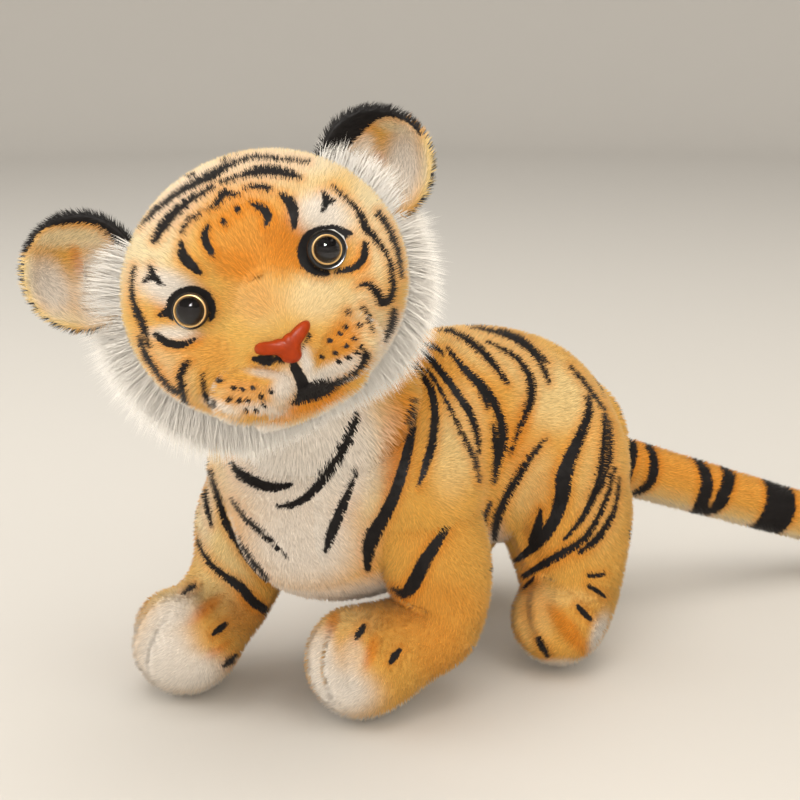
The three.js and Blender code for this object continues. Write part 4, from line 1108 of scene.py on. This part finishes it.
face_marks = [
    [(223, 191, 3.4), (216, 203, 2.4), (205, 209, 1.2)],
    [(223, 191, 3.2), (230, 193, 2.4), (240, 193, 1)],
    [(213, 185, 1.5), (192, 197, 3), (175, 210, 4), (162, 225, 4.4), (153, 240, 2.5)],
    [(212, 174, 5), (184, 187, 3), (162, 203, 2.4), (137, 225, 2.2)],
    [(212, 173, 4.5), (234, 161, 2), (255, 155, 1.8), (280, 157, 1.6), (309, 160, 1.2)],
    [(221, 181, 1.6), (238, 175, 1.8), (255, 170, 4), (272, 169, 4.8), (288, 172, 4), (301, 176, 1.4)],
    [(244, 187, 1), (259, 185, 2.6), (272, 188, 1.2)],
    [(200, 212, 1), (187, 220, 2), (181, 231, 1.2)],
    [(207, 224, 1.6), (204, 238, 3.2), (211, 252, 3)],
    [(223, 220, 2.4), (223, 221, 2.4)],
    [(237, 208, 2.8), (237, 209, 2.8)],
    [(250, 202, 1.4), (262, 207, 3.6), (268, 215, 3.6), (266, 223, 2)],
    [(280, 193, 1.5), (289, 200, 5), (294, 212, 4.6), (294, 228, 1.4)],
    [(180, 241, 1.6), (182, 255, 4.6), (191, 265, 4.4), (201, 274, 1.4)],
    [(323, 191, 1.6), (327, 200, 3.6), (323, 210, 1.2)],
    [(327, 199, 3), (335, 200, 1.2)],
    [(149, 266, 1.6), (151, 275, 3), (143, 281, 1.5)],
    [(151, 275, 3), (161, 285, 1.4)],
    [(333, 185, 1), (349, 199, 1.4), (360, 212, 2.2), (366, 227, 3.6)],
    [(368, 229, 3), (383, 246, 1.8), (391, 261, 2), (395, 281, 2.2), (392, 299, 3.2), (382, 303, 3)],
    [(359, 285, 1.2), (371, 284, 2.4), (381, 297, 3.6)],
    [(379, 211, 1.6), (391, 229, 2.6), (399, 250, 2), (403, 277, 1)],
    [(395, 309, 1.8), (394, 323, 3.4), (386, 341, 1.2)],
    [(330, 231, 3), (341, 232, 3.4), (352, 233, 1)],
    [(343, 233, 2.4), (341, 246, 3.4)],
    [(366, 243, 2.8), (364, 258, 3), (353, 268, 2.6), (337, 271, 1.6)],
    [(158, 316, 1.2), (168, 311, 4.4), (174, 309, 5)],
    [(171, 318, 2.5), (170, 306, 4.5), (176, 297, 5), (188, 292, 5.5), (200, 293, 5), (209, 300, 4),
     (212, 311, 3.5), (210, 319, 2)],
    [(322, 229, 3), (310, 236, 5), (304, 249, 6), (306, 262, 5.5), (315, 270, 4), (327, 273, 2.5)],
    [(318, 232, 3), (330, 229, 4), (341, 232, 4.5), (351, 233, 1.2)],
    [(154, 334, 1.8), (165, 342, 3.4), (181, 345, 3), (196, 338, 1.2)],
    [(133, 266, 1.2), (130, 287, 1.8), (133, 305, 2.8), (139, 319, 3.6), (148, 347, 1)],
    [(138, 336, 1.4), (145, 357, 3), (158, 376, 1.8), (169, 389, 2), (181, 395, 1.6)],
    [(186, 363, 2.6), (179, 376, 3.2), (182, 393, 2.6), (184, 404, 2.6), (194, 414, 2), (206, 421, 1)],
    [(201, 375, .8), (204, 395, 2.2), (212, 406, 2.6)],
    [(363, 305, .8), (370, 317, 1.5), (374, 332, .8)],
    [(177, 177, .8), (194, 173, 1)],
    [(221, 159.5, .8), (234, 152, 1.2), (250, 148, 1)],
]
muzzle_marks = [
    [(253, 359, 1.5), (262, 360.5, 4.5), (273, 360, 5), (282, 361, 4)],
    [(299, 349, 3.5), (303, 343, 4.5), (307, 336, 3)],
    [(292, 363, 4), (297, 372, 4.5), (303, 384, 5.5), (305, 394, 7)],
    [(304, 396, 6.5), (313, 394, 7.5), (324, 391, 6.5), (337, 385, 4), (350, 379, 2), (361, 369, 2.6),
     (367, 359, 3.8), (367, 353, 3)],
    [(303, 400, 4.5), (294, 404, 2)],
]
whisker_spots = [
    (349, 311), (346, 326), (340, 333), (330, 340), (360, 324), (355, 338), (347, 346), (335, 353),
    (322, 357), (362, 347),
    (358, 353), (349, 358), (339, 362), (218, 380), (233, 388), (242, 389), (253, 388), (271, 392),
    (261, 397), (247, 401),
    (238, 401), (228, 400), (264, 406), (256, 411), (246, 411),
]
spot_marks = [[(x0 - 0.5, y0, 1.9), (x0 + 1.2, y0 + 0.8, 1.5)] for x0, y0 in whisker_spots]
face_zones = [
    [(248, 236, 46, 46, 20, .7), (285, 245, 26, 30, 0, 1), (238, 264, 26, 18, 0, .9),
     (250, 300, 34, 20, 0, .3), (208, 352, 30, 22, 20, .5), (165, 365, 16, 24, -10, .3),
     (360, 262, 14, 24, -20, .4), (308, 409, 50, 9, -22, .8), (236, 392, 26, 20, 10, .2),
     (344, 336, 18, 22, 0, .5), (160, 300, 14, 14, 0, .4)],
    [(240, 165, 130, 34, -6, 1), (145, 240, 36, 70, 30, 1), (380, 220, 30, 64, -10, 1),
     (318, 295, 34, 28, 0, .7), (262, 300, 30, 30, 0, .3), (150, 380, 40, 50, -30, .7),
     (372, 320, 24, 50, -10, .8), (300, 422, 70, 12, -20, .7), (240, 396, 30, 14, 0, .5)],
    [(324, 214, 32, 24, 20, 1), (168, 288, 34, 19, 22, 1), (172, 333, 26, 8, 0, .9),
     (325, 376, 34, 10, -26, 1), (284, 388, 13, 20, 20, 1), (268, 374, 22, 5, 10, .8),
     (306, 362, 8, 19, -12, 1), (222, 409, 22, 6, 25, .9), (350, 365, 16, 8, -40, .8),
     (218, 424, 34, 7, 18, 1), (270, 434, 40, 9, 0, 1), (335, 418, 36, 9, -30, 1),
     (262, 412, 26, 5, 8, .8), (400, 350, 22, 40, 20, .8), (200, 432, 60, 12, 10, .7),
     (340, 412, 40, 10, -30, .6), (262, 408, 30, 6, 0, .5), (165, 190, 46, 34, -35, .45),
     (262, 160, 100, 18, -4, .3)],
]
eye_pixels, eye_bare = ((191, 311), (326, 250)), 16.0
round_eyes = [[(190, 311, 20), (191, 311, 20)], [(324, 250, 20), (325, 250, 20)]]
nose_marks = [[(257, 349, 4), (280, 350, 7), (292, 347, 9)], [(292, 347, 9),
(305, 326, 5)], [(292, 350, 8), (292, 360, 6)]]
crown_stripes = [
    # around the head's own axis, behind the face: the turn of the stripe's middle in degrees, how far back
    # it lies, its half length in degrees and its half width, in millimetres
    (90, 10, 40, 2.6), (52, 18, 22, 2.2), (128, 20, 22, 2.2), (90, 24, 34, 2.6), (40, 34, 26, 2.2),
    (140, 34, 26, 2.2), (90, 38, 30, 2.2), (10, 16, 16, 1.8), (170, 16, 16, 1.8),
]


def turn_about(axis, angle):
    """The matrix of a turn about X, Y or Z."""
    c, s = np.cos(angle), np.sin(angle)
    a, b = [(1, 2), (2, 0), (0, 1)]["xyz".index(axis)]
    matrix = np.eye(3)
    matrix[a, a] = matrix[b, b] = c
    matrix[a, b], matrix[b, a] = -s, s
    return matrix


head_axes = turn_about("z", head_yaw) @ turn_about("x", -head_pitch) @ turn_about("y", -head_roll)


def from_head(points):
    """Points given about the head's middle, facing -Y with the left at +X, as the toy's millimetres."""
    return head_middle + np.asarray(points, float) @ head_axes.T


def to_head(points):
    """The toy's millimetres as points about the head's middle."""
    return (points - head_middle) @ head_axes


none = 0 * head_rows[:, 0]
head_form = (
    np.stack([none, head_rows[:, 0], head_rows[:, 1]], 1),
    np.stack([head_rows[:, 2], none, none], 1),
    np.stack([none, none, head_rows[:, 3]], 1),
)
head_skin = stuffed_skin(*head_form, rings=84, sides=128, bulges=(9, 7))
local, way = head_skin["points"], head_skin["normals"]
push = np.zeros(len(local))
for x0, z0, half_x, half_z, out in face_forms:
    q = ((local[:, 0] - x0) / half_x) ** 2 + ((local[:, 2] - z0) / half_z) ** 2
    push += out * np.exp(-q) * np.clip(-way[:, 1] * 2, 0, 1)
head_skin = sunk(moved_skin(head_skin, local + way * push[:, None]), face_rise)
beds = [(at, np.array(size) - face_rise - bed) for at, size, bed, _ in pads.values()]
head_skin = swollen(head_skin, beds, pad_reach)
head_skin = moved_skin(head_skin, from_head(head_skin["points"]))


def crown_and_nape(points, normals):
    """Arcs over the back of the head, and its cream and white pile."""
    spot = to_head(points)
    turn = np.degrees(np.arctan2(spot[:, 2], spot[:, 0]))
    ink = np.full(len(points), unseen)
    for middle, back, half_turn, half in crown_stripes:
        away = np.abs(turn - middle) / half_turn
        width = half * np.sqrt(np.clip(1 - away ** 2, 0, 1)) - np.clip(away - 1, 0, 9) * 12
        ink = np.minimum(ink, (np.abs(spot[:, 1] - back - 3 * away) - width) * pixels_a_mm)
    ink += np.clip(edge_facing + facing_eye(points, normals), 0, 1) * 200
    zone = np.zeros((len(points), 3))
    zone[:, 1] = 0.6
    zone[:, 2] = np.clip((-spot[:, 2] - 8) / 14, 0, 1)
    return ink, zone


def head_comb(root, normal):
    """The pile lies away from the nose."""
    return unit(root - from_head([[0, -56, -18]])) + 0.2 * head_axes[:, 1]


def face_bare(root, normal):
    """Where no pile grows on the face: under the eyes and the nose."""
    pixels = photo_pixels(root)
    bare = mark_distance(pixels, nose_marks) < -1
    for spot in eye_pixels:
        bare |= np.linalg.norm(pixels - spot, axis=1) < eye_bare
    return bare & (facing_eye(root, normal) > 0)


def face_length(root):
    """The pile is short round the eyes, nose and mouth and longer towards the cheeks and the crown."""
    near = mark_distance(photo_pixels(root), round_eyes + nose_marks)
    return 1.5 + 1.2 * np.clip((near + 4) / 46, 0, 1)


head_coat = drawn(face_marks + muzzle_marks + spot_marks, face_zones, crown_and_nape)
face_plush = plush_finish("face_plush", Gold=(0.82, 0.50, 0.125, 1))
head_pile = dict(density=2.1, length=face_length, comb=head_comb, lean=0.75, half_width=0.21, bare=face_bare)
back_pile = dict(density=1.5, length=even(3.8), comb=head_comb, lean=0.7, half_width=0.24)
head_along = to_head(face_middles(head_skin))[:, 1]
for seed, name, chosen, finish, slot, pile in (
    (61, "face_panel", head_along < 3, face_plush, "orange_plush", head_pile),
    (62, "head_back_panel", head_along >= 3, cream_plush, "cream_plush", back_pile),
):
    piece = plush_piece(name + "_plush", name, head_skin, chosen, head_coat, finish, pile, seed)
    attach(piece, "head")


# Whisker pads and chin. Small stuffed pieces of white and orange pile are sewn on the muzzle, with the
# black mouth lining between them.
def ball_skin(centre, radii, rings, sides):
    """An oval ball: rings at even angles from one end of Y to the other."""
    angle = np.linspace(0, np.pi, rings + 2)[1:-1, None]
    turn = np.arange(sides) * 2 * np.pi / sides
    out = np.sin(angle)
    ball = np.stack([out * np.cos(turn), -np.cos(angle) + 0 * turn, out * np.sin(turn)], 2)
    end = np.array([0.0, radii[1], 0.0])
    return closed_skin(centre + ball * radii, centre - end, centre + end)


pad_pile = {**head_pile, "density": 2.2}
for seed, (node, (centre, radii, _, rise)) in enumerate(pads.items(), 63):
    pad = ball_skin(np.array(centre, float), np.array(radii, float) - rise, rings=30, sides=56)
    pad = moved_skin(pad, from_head(pad["points"]))
    name = node.replace("_panel", "") + "_plush"
    piece = plush_piece(
        name, node, pad, every_face(pad), head_coat, white_plush, pad_pile, seed
    )
    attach(piece, "head")

mouth = stuffed_skin(
    from_head([[-14, -44, -36.5], [-6, -46, -35.5], [8, -46, -35.5], [21, -41, -35]]),
    np.outer((4, 7, 7, 4), head_axes[:, 1]), np.outer((1.5, 3, 3, 1.5), head_axes[:, 2]),
    rings=24, sides=32, bulges=(3, 3),
)
dark = (0.02, 0.017, 0.016, 1)
black_plush = plush_finish("black_plush", halo=0, drift=0, sheen=0.1, Gold=dark, Cream=dark)


def plain_coat(points, normals):
    """No marks and no patches."""
    return np.full(len(points), unseen), np.zeros((len(points), 3))


mouth_pile = {**head_pile, "length": even(1.8), "bare": None}
piece = plush_piece(
    "mouth_plush", "mouth_lining", mouth, every_face(mouth), plain_coat, black_plush,
    mouth_pile, 66,
)
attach(piece, "head")


# Cheek ruffs. Two crescents of long white pile sewn into the seam round the face, from each ear down to
# the chin. The pile is brushed out and back, and its hairs gather in soft locks.
ruff_length, right_share, ruff_locks, lock_pull, lock_curve = 19.0, 0.88, 900, 0.4, 1.4
ruff_rise, ruff_backing, up_light = 0.9, 0.8, 0.6
head_local = to_head(head_skin["points"])


def ruff_turn(spot):
    """How far round the face a place lies, in degrees below the level of the eyes."""
    return np.degrees(np.arctan2(-spot[:, 2], np.abs(spot[:, 0])))


def ruff_reach(root):
    """The ruffs are longest beside the jaw and shorter by the ears and under the chin. Hairs that stand
    together differ, by the fraction of a large multiple of a sine of their place."""
    spot = to_head(root)
    uneven = 0.78 + 0.34 * np.modf(np.abs(np.sin(root @ [12.99, 78.23, 37.72]) * 4375.8))[0]
    turns, shares = [-44, -30, -10, 20, 50, 70, 90], [0.62, 0.85, 0.95, 1.0, 0.9, 0.62, 0.42]
    wide = np.interp(ruff_turn(spot), turns, shares)
    return ruff_length * wide * uneven * np.where(spot[:, 0] > 0, right_share, 1.0)


def ruff_comb(root, normal):
    """The ruffs are brushed back, up beside the ears and down beside the jaw."""
    turn = ruff_turn(to_head(root))
    rise = np.interp(turn, [-44, -15, 10, 35, 90], [0.1, 0.3, 0.0, -0.55, -0.45])[:, None]
    return head_axes[:, 2] * rise + head_axes[:, 1] * 0.4


def ruff_broad(root, normal):
    """A ruff's hairs lie flat to the front, as a brushed fan does."""
    return unit(normal * 0.5 - head_axes[:, 1] + head_axes[:, 2] * 0.25)


def locks_of(seed):
    """What gathers hairs in locks: each hair moves towards the mean root of those that are nearest to the
    same chosen root, more towards its tip. Its light is that of the fan, and its shade half as uneven."""
    def gathered(hair):
        rng = np.random.default_rng(seed)
        roots = hair["root"]
        middle = roots[rng.choice(len(roots), ruff_locks, replace=False)]
        nearest = np.concatenate([
            np.argmin(((part[:, None] - middle) ** 2).sum(2), axis=1) for part in np.array_split(roots, 40)
        ])
        total = np.zeros((ruff_locks, 3))
        np.add.at(total, nearest, roots)
        held = np.maximum(np.bincount(nearest, minlength=ruff_locks), 1)[:, None]
        shift = (total / held)[nearest] - roots
        pull = hair["tip"].reshape(len(roots), -1) ** lock_curve * lock_pull
        moved = hair["points"].reshape(len(roots), -1, 3) + shift[:, None] * pull[..., None]
        return {
            **hair, "points": moved.reshape(-1, 3), "normals": unit(hair["normals"] + [0.0, 0.0, up_light]),
            "shade": 1 + (hair["shade"] - 1) * 0.5,
        }
    return gathered


ruff_finish = plush_finish(
    "long_pile", halo=0, drift=0.1, sheen=0.2, Gold=(0.97, 0.95, 0.91, 1), Orange=(0.93, 0.86, 0.74, 1)
)
ruff_pile = dict(
    density=5.2, length=ruff_reach, comb=ruff_comb, lean=0.5, half_width=0.13, segments=2, droop=0.15,
    flat_to=ruff_broad,
)
middle = head_local[head_skin["faces"]].mean(1)
down = ruff_turn(middle)
in_ruff = (down > -42) & (down < 89) & (middle[:, 1] > -9) & (middle[:, 1] < 13)
raised = sunk(head_skin, -ruff_rise)
for side_name, side, seed in (("left", 1, 71), ("right", -1, 72)):
    node = f"cheek_ruff_{side_name}"
    piece = plush_piece(
        node + "_pile", node, raised, in_ruff & (middle[:, 0] * side > 0), plain_coat,
        ruff_finish, ruff_pile, seed, brush=locks_of(seed), thickness=ruff_backing, shade=1.0,
    )
    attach(piece, "head")


# Ears. Each is a cup of two cloths sewn round its rim: a back that is black at the top, folded over the
# rim, and a pale lining. The front of the ear faces the same way as the face.
ear_half_width, ear_half_height, ear_thickness, ear_over_foot = 20.5, 20.5, 7.0, 15.1
ear_rings, ear_sides, ear_lining_share, ear_curl = 40, 72, 0.36, 0.12
ear_rises = {"left": (-7.0, -6.0), "right": (2.9, 1.1)}
ear_profile = np.array([
    # share of the way out from the middle, and how far back, from the lining's middle to the back's
    [0.0, 9.0], [0.25, 8.6], [0.5, 6.6], [0.7, 3.7], [0.84, 1.2], [0.93, 0.1], [0.985, 0.6], [1.0, 2.2],
     [0.97, 4.2], [0.86, 7.2],
    [0.66, 10.6], [0.42, 13.0], [0.2, 14.0], [0.0, 14.3],
])
ear_marks = [
    [(23, 250, 2.5), (29, 232, 6), (44, 218, 9), (62, 214, 11), (85, 212, 11), (104, 218, 12),
     (118, 229, 13), (130, 241, 12), (134, 252, 5)],
    [(333, 172, 4), (326, 156, 12), (338, 140, 13), (351, 126, 13), (372, 111, 10), (393, 110, 6),
     (411, 119, 4), (420, 130, 2.5)],
    [(314, 160, 5), (318, 140, 8), (328, 122, 9), (344, 108, 9), (362, 100, 6), (384, 99, 4)],
    [(20, 232, 3), (36, 212, 6), (60, 204, 6), (90, 204, 6), (116, 212, 7)],
]
ear_zones = [
    [(76, 262, 6, 18, -18, .9), (380, 157, 8, 6, 30, .8)],
    [(70, 238, 60, 12, 0, .9), (26, 275, 11, 50, -10, .95), (430, 165, 11, 54, 0, .95),
     (396, 124, 36, 10, 20, .95), (350, 160, 8, 20, 20, .8), (50, 320, 40, 12, 0, .8)],
    [(50, 286, 20, 32, -25, 1), (100, 290, 28, 44, 0, 1), (404, 165, 19, 38, 0, 1),
     (374, 190, 28, 38, 0, 1), (364, 150, 12, 18, 20, .8)],
]


def ear_back_colours(points, normals):
    """The back of an ear is black but for its foot."""
    return np.full(len(points), -6.0), np.tile([0.0, 0.6, 0.0], (len(points), 1))


ear_coat = drawn(ear_marks, ear_zones, ear_back_colours)
share, back = along_curve(ear_profile, np.linspace(0, 1, ear_rings))[1:-1].T
turn = np.linspace(0, 2 * np.pi, ear_sides, endpoint=False)
wide, tall = np.cos(turn) * ear_half_width, np.sin(turn) * ear_half_height
for side_name, seed in (("left", 81), ("right", 83)):
    foot = to_head(joint_point(f"ear_fold_{side_name}"))
    out = unit(np.array([foot[0], 0.0, foot[2]]))
    along = np.array([out[2], 0.0, -out[0]])
    aside, rise = ear_rises[side_name]
    centre = foot + out * ear_over_foot + np.array([aside, 0.0, rise])
    rings = (
        centre + share[:, None, None] * (wide[:, None] * along + tall[:, None] * out)
        + (back[:, None] - ear_thickness + ear_curl * np.abs(tall))[..., None] * np.array([0.0, 1.0, 0.0])
    )
    poles = [centre + np.array([0.0, ear_profile[end, 1] - ear_thickness, 0.0]) for end in (0, -1)]
    ear = closed_skin(rings, *poles)
    ear = moved_skin(ear, from_head(ear["points"]))
    inner = ear["uv"].mean(1)[:, 1] < ear_lining_share
    pile = dict(density=2.0, comb=laid(head_axes @ out), lean=0.8, half_width=0.24)
    for part, slot, chosen, finish, length in (
        ("ear_back", "black_plush", ~inner, orange_plush, 3.4),
        ("ear_lining", "white_plush", inner, white_plush, 4.0),
    ):
        node = f"{part}_{side_name}"
        piece = plush_piece(
            node + "_plush", node, ear, chosen, ear_coat, finish, {**pile, "length": even(length)}, seed
        )
        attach(piece, f"ear_{side_name}")
        seed += 1


# Eyes. Each is a moulded safety eye: a black rim cup with a peg, a thin gold ring round a dark brown
# iris, a black pupil, and a clear domed lens over them.
eye_shares = {"left": (0.93, 0.78), "right": (0.85, 0.84)}      # of the rim cup's size, and of the rest's
eye_shifts = {"left": (-1.8, 0.0, -0.6), "right": (0.0, 0.0, 0.0)}
eye_turns, eye_depth, iris_radius, sharp_edge = 64, 2.5, 5.7, np.radians(40)
eye_parts = {
    # the outline of each turned part, as radius and height over the rim cup's seat, in millimetres
    "eye_cup": [(0, -9), (2.2, -9), (2.2, -0.6), (6.9, -0.6), (7.3, 0), (7.3, 0.7), (7.2, 1.15),
    (6.95, 1.35), (6.7, 1.3), (6.55, 0.3), (0, 0.3)],
    "eye_ring": [(0, 0.35), (6.5, 0.35), (6.5, 1.9), (6.38, 2.2), (6.1, 2.3), (5.85, 2.05), (5.78, 1.0),
    (0, 0.95)],
    "eye_pupil": [(0, 1.0), (4.6, 1.0), (4.6, 1.15), (4.3, 1.25), (0, 1.3)],
    "eye_lens": [(0, 0.8), (5.5, 0.8), (5.74, 0.9), (5.74, 1.7), (5.55, 2.3), (5.0, 3.2), (4.0, 4.0),
    (2.65, 4.5), (1.3, 4.75), (0, 4.8)],
}


def turned(outline, axis, seat, sides):
    """A closed skin made by turning an outline of radius and height round an axis."""
    outline = np.array(outline, float)
    side = unit(np.cross(axis, [0.0, 0.0, 1.0]))
    other = np.cross(axis, side)
    angle = np.arange(sides) * 2 * np.pi / sides
    round_axis = np.cos(angle)[:, None] * side + np.sin(angle)[:, None] * other
    rings = seat + outline[1:-1, 0, None, None] * round_axis + outline[1:-1, 1, None, None] * axis
    return closed_skin(rings, seat + axis * outline[0, 1], seat + axis * outline[-1, 1])


def box_middle(node):
    """The middle of a CAD node's box, in the toy's millimetres."""
    return np.mean(np.array(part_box(node)), axis=0) * 1000 - under_body


def moulded_group():
    """Faint cloudy changes of a moulded or painted colour, and of its polish."""
    tree, given, made = new_group(
        "moulded", {"Color": "Color", "Speck": "Float", "Polish": "Float"},
        {"Color": "Color", "Roughness": "Float"},
    )
    cloud = noise_node(tree, 420, 3)
    speck = math_node(tree, "MULTIPLY", map_range(tree, cloud, 0.3, 0.7, -1, 1), given["Speck"])
    tone = math_node(tree, "ADD", speck, 1.0)
    tree.links.new(scaled_colour(tree, given["Color"], tone), made["Color"])
    polish = math_node(tree, "MULTIPLY", map_range(tree, cloud, 0.2, 0.8, 0.85, 1.15), given["Polish"])
    tree.links.new(polish, made["Roughness"])
    return tree


moulded = moulded_group()


def hard_finish(name, colour, roughness, metallic=0.0, speck=0.06, gloss=0.5):
    """Moulded or painted plastic, or metal."""
    finish, tree, shader, group = new_finish(name, moulded)
    for label, value in (("Color", (*colour, 1)), ("Speck", speck), ("Polish", roughness)):
        group.inputs[label].default_value = value
    tree.links.new(group.outputs["Color"], shader.inputs["Base Color"])
    tree.links.new(group.outputs["Roughness"], shader.inputs["Roughness"])
    shader.inputs["Metallic"].default_value = metallic
    shader.inputs["Specular IOR Level"].default_value = gloss
    return finish


black_finish = hard_finish("black_plastic", (0.012, 0.011, 0.011), 0.22)
gold_finish = hard_finish("gold_ring", (0.86, 0.56, 0.24), 0.35, 0.35)
iris_finish = hard_finish("iris_brown", (0.03, 0.013, 0.007), 0.35)
pupil_finish = hard_finish("pupil_paint", (0.006, 0.005, 0.005), 0.5, gloss=0.05)
clear_finish = bpy.data.materials.new("clear_plastic")
clear_finish.use_nodes = True
clear_tree = clear_finish.node_tree
clear_shader = clear_tree.nodes["Principled BSDF"]
clear_shader.inputs["Transmission Weight"].default_value = 1.0
clear_shader.inputs["IOR"].default_value = 1.42
clear_polish = map_range(clear_tree, noise_node(clear_tree, 300), 0.3, 0.7, 0.0, 0.01)
clear_tree.links.new(clear_polish, clear_shader.inputs["Roughness"])
eye_finishes = {
    "eye_cup": (black_finish, "black_plastic"), "eye_ring": (gold_finish, "gold_ring"),
    "eye_pupil": (pupil_finish, "black_plastic"), "eye_lens": (clear_finish, "clear_plastic"),
}
for side_name in ("left", "right"):
    back_point, front_point = box_middle(f"eye_washer_{side_name}"), box_middle(f"eye_lens_{side_name}")
    axis = unit(front_point - back_point)
    seat = front_point - axis * eye_depth + head_axes @ eye_shifts[side_name]
    cup_share, inner_share = eye_shares[side_name]
    for name, outline in eye_parts.items():
        share = cup_share if name == "eye_cup" else inner_share
        skin = turned(np.array(outline) * [share, 1], axis, seat, eye_turns)
        piece = put_mesh(f"{name}_{side_name}_turned", skin["points"], skin["faces"], skin["uv"])
        piece.data.set_sharp_from_angle(angle=sharp_edge)
        finish, slot = eye_finishes[name]
        piece.data.materials.append(finish)
        if name == "eye_ring":
            piece.data.materials.append(iris_finish)
            out = np.linalg.norm(np.cross(face_middles(skin) - seat, axis), axis=1)
            piece.data.polygons.foreach_set("material_index", (out < iris_radius * share).astype(np.int32))
        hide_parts(f"{name}_{side_name}")
        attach(piece, "head")


# Nose. One moulded piece of satin terracotta plastic with two wings and a stalk, pegged through the
# muzzle above the mouth.
nose_outline = np.array([
    (254.7, 347.5), (258.9, 342.5), (271.5, 342), (282, 339), (290.5, 332.5), (298.9, 324.2),
    (306.2, 320), (310, 323.6), (309.4, 329.5),
    (304.5, 337.3), (300.4, 343.5), (300.4, 349.9), (301.6, 355), (298.9, 360.4), (291.5, 362.8),
    (284.2, 361.5), (281, 357.3),
    (277, 354.5), (268, 354.4), (260, 355.6), (255.8, 352.5),
])
nose_centre = np.array([289.0, 347.0])
nose_layers = (
    # share of the outline, and how far the layer stands off the face, in millimetres
    (0.9, -2.5), (1.0, -1.5), (1.03, 0.5), (1.0, 1.8), (0.93, 2.8), (0.8, 3.6), (0.62, 4.05), (0.4, 4.3),
    (0.2, 4.4),
)
nose_back, nose_front, nose_steps, face_guess, near_width = -2.5, 4.45, 96, -52.0, 30.0


def on_face(pixels, depths):
    """Where the camera's rays through pixels of the photograph reach the given depths of the head."""
    aside, down = (np.atleast_2d(pixels) - photo_side / 2).T[..., None] / focal_pixels
    rays = (aside * view_right - down * view_top - view_back) @ head_axes
    start = to_head(eye_place[None])
    return start + rays * ((depths - start[:, 1]) / rays[:, 1])[:, None]


def face_depth(flat):
    """How far forward the face's skin lies at places across and up it: the mean of the skin near each, by
    the bell curve of its distance."""
    front = head_local[head_local[:, 1] < -25]
    gap = ((flat[:, None] - front[None, :, [0, 2]]) ** 2).sum(2)
    weight = np.exp(-gap / near_width)
    return (weight * front[:, 1]).sum(1) / weight.sum(1)


spokes = nose_outline - nose_centre
spoke_turn = np.arctan2(spokes[:, 1], spokes[:, 0])
order = np.argsort(spoke_turn)
turn = np.linspace(-np.pi, np.pi, nose_steps, endpoint=False)
reach = np.interp(turn, spoke_turn[order], np.linalg.norm(spokes, axis=1)[order], period=2 * np.pi)
reach = (reach + np.roll(reach, 1) + np.roll(reach, -1)) / 3
rim = np.stack([np.cos(turn), np.sin(turn)], 1) * reach[:, None]
middle_depth = face_depth(on_face(nose_centre, face_guess)[:, [0, 2]])
rings = []
for share, lift in nose_layers:
    pixels = nose_centre + rim * share
    depth = (face_depth(on_face(pixels, face_guess)[:, [0, 2]]) + middle_depth) / 2
    rings.append(on_face(pixels, depth - lift))
nose_ends = [on_face(nose_centre, middle_depth - lift)[0] for lift in (nose_back, nose_front)]
nose_skin = closed_skin(np.array(rings), *nose_ends)
nose_skin = moved_skin(nose_skin, from_head(nose_skin["points"]))
piece = put_mesh("nose_moulding", nose_skin["points"], nose_skin["faces"], nose_skin["uv"])
piece.data.materials.append(hard_finish("nose_plastic", (0.34, 0.036, 0.003), 0.45, speck=0.1, gloss=0.15))
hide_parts("nose")
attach(piece, "head")


# Stuffing and washers. Polyester filling lies under each skin, and a plastic washer holds each eye and
# the nose from behind.
filling_gap, leg_filling_gap, head_filling_share = 6.0, 9.5, 0.8
filling = hard_finish("stuffing", (0.82, 0.81, 0.79), 0.95, speck=0.12)
washer_finish = hard_finish("washer_plastic", (0.72, 0.72, 0.70), 0.45)


def add_filling(node, skin):
    """The stuffing of a piece, from its skin's slimmer form."""
    piece = put_mesh(node + "_filling", skin["points"], skin["faces"])
    piece.data.materials.append(filling)
    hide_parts(node)
    return piece


def slimmer(size, gap=filling_gap):
    """Ring half axes made shorter by the gap between a skin and its stuffing."""
    length = np.linalg.norm(size, axis=1, keepdims=True)
    return size * np.maximum(length - gap, 2) / length


torso_filling = stuffed_skin(
    torso_rows[:, :3], slimmer(torso_across), slimmer(torso_up), rings=60, sides=80, bulges=(11, 8)
)
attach(add_filling("body_stuffing", torso_filling), "body")
head_filling = stuffed_skin(*head_form, rings=60, sides=80, bulges=(9, 7))
head_filling = moved_skin(head_filling, from_head(head_filling["points"] * head_filling_share))
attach(add_filling("head_stuffing", head_filling), "head")
at, across, up = neck_form
neck_filling = stuffed_skin(at, slimmer(across), slimmer(up), rings=20, sides=60, bulges=(2, 3))
bend(add_filling("neck_stuffing", neck_filling), *neck_crossing)
for name, ((at, across, up), crossing) in leg_forms.items():
    across, up = slimmer(across, leg_filling_gap), slimmer(up, leg_filling_gap)
    skin = stuffed_skin(at, across, up, rings=50, sides=60, bulges=(13, 12), eased=leg_easing)
    bend(add_filling(name + "_stuffing", skin), *crossing)
for name, low, high in (("tail_base", -12, tail_split - 1), ("tail_end", tail_split, tail_length - 8)):
    spots = np.linspace(low, high, 5)
    size = np.interp(spots, *tail_radii.T)[:, None] - filling_gap
    skin = stuffed_skin(
        on_tail(spots[:, None]), tail_side * size, tail_up * size, rings=50, sides=40, bulges=(0.5, 0.5),
    )
    bend(add_filling(name + "_stuffing", skin), *tail_parts[name][2])
for name in ("eye_washer_left", "eye_washer_right", "nose_washer"):
    node = frame["nodes"][name]
    node.data.materials.clear()
    node.data.materials.append(washer_finish)
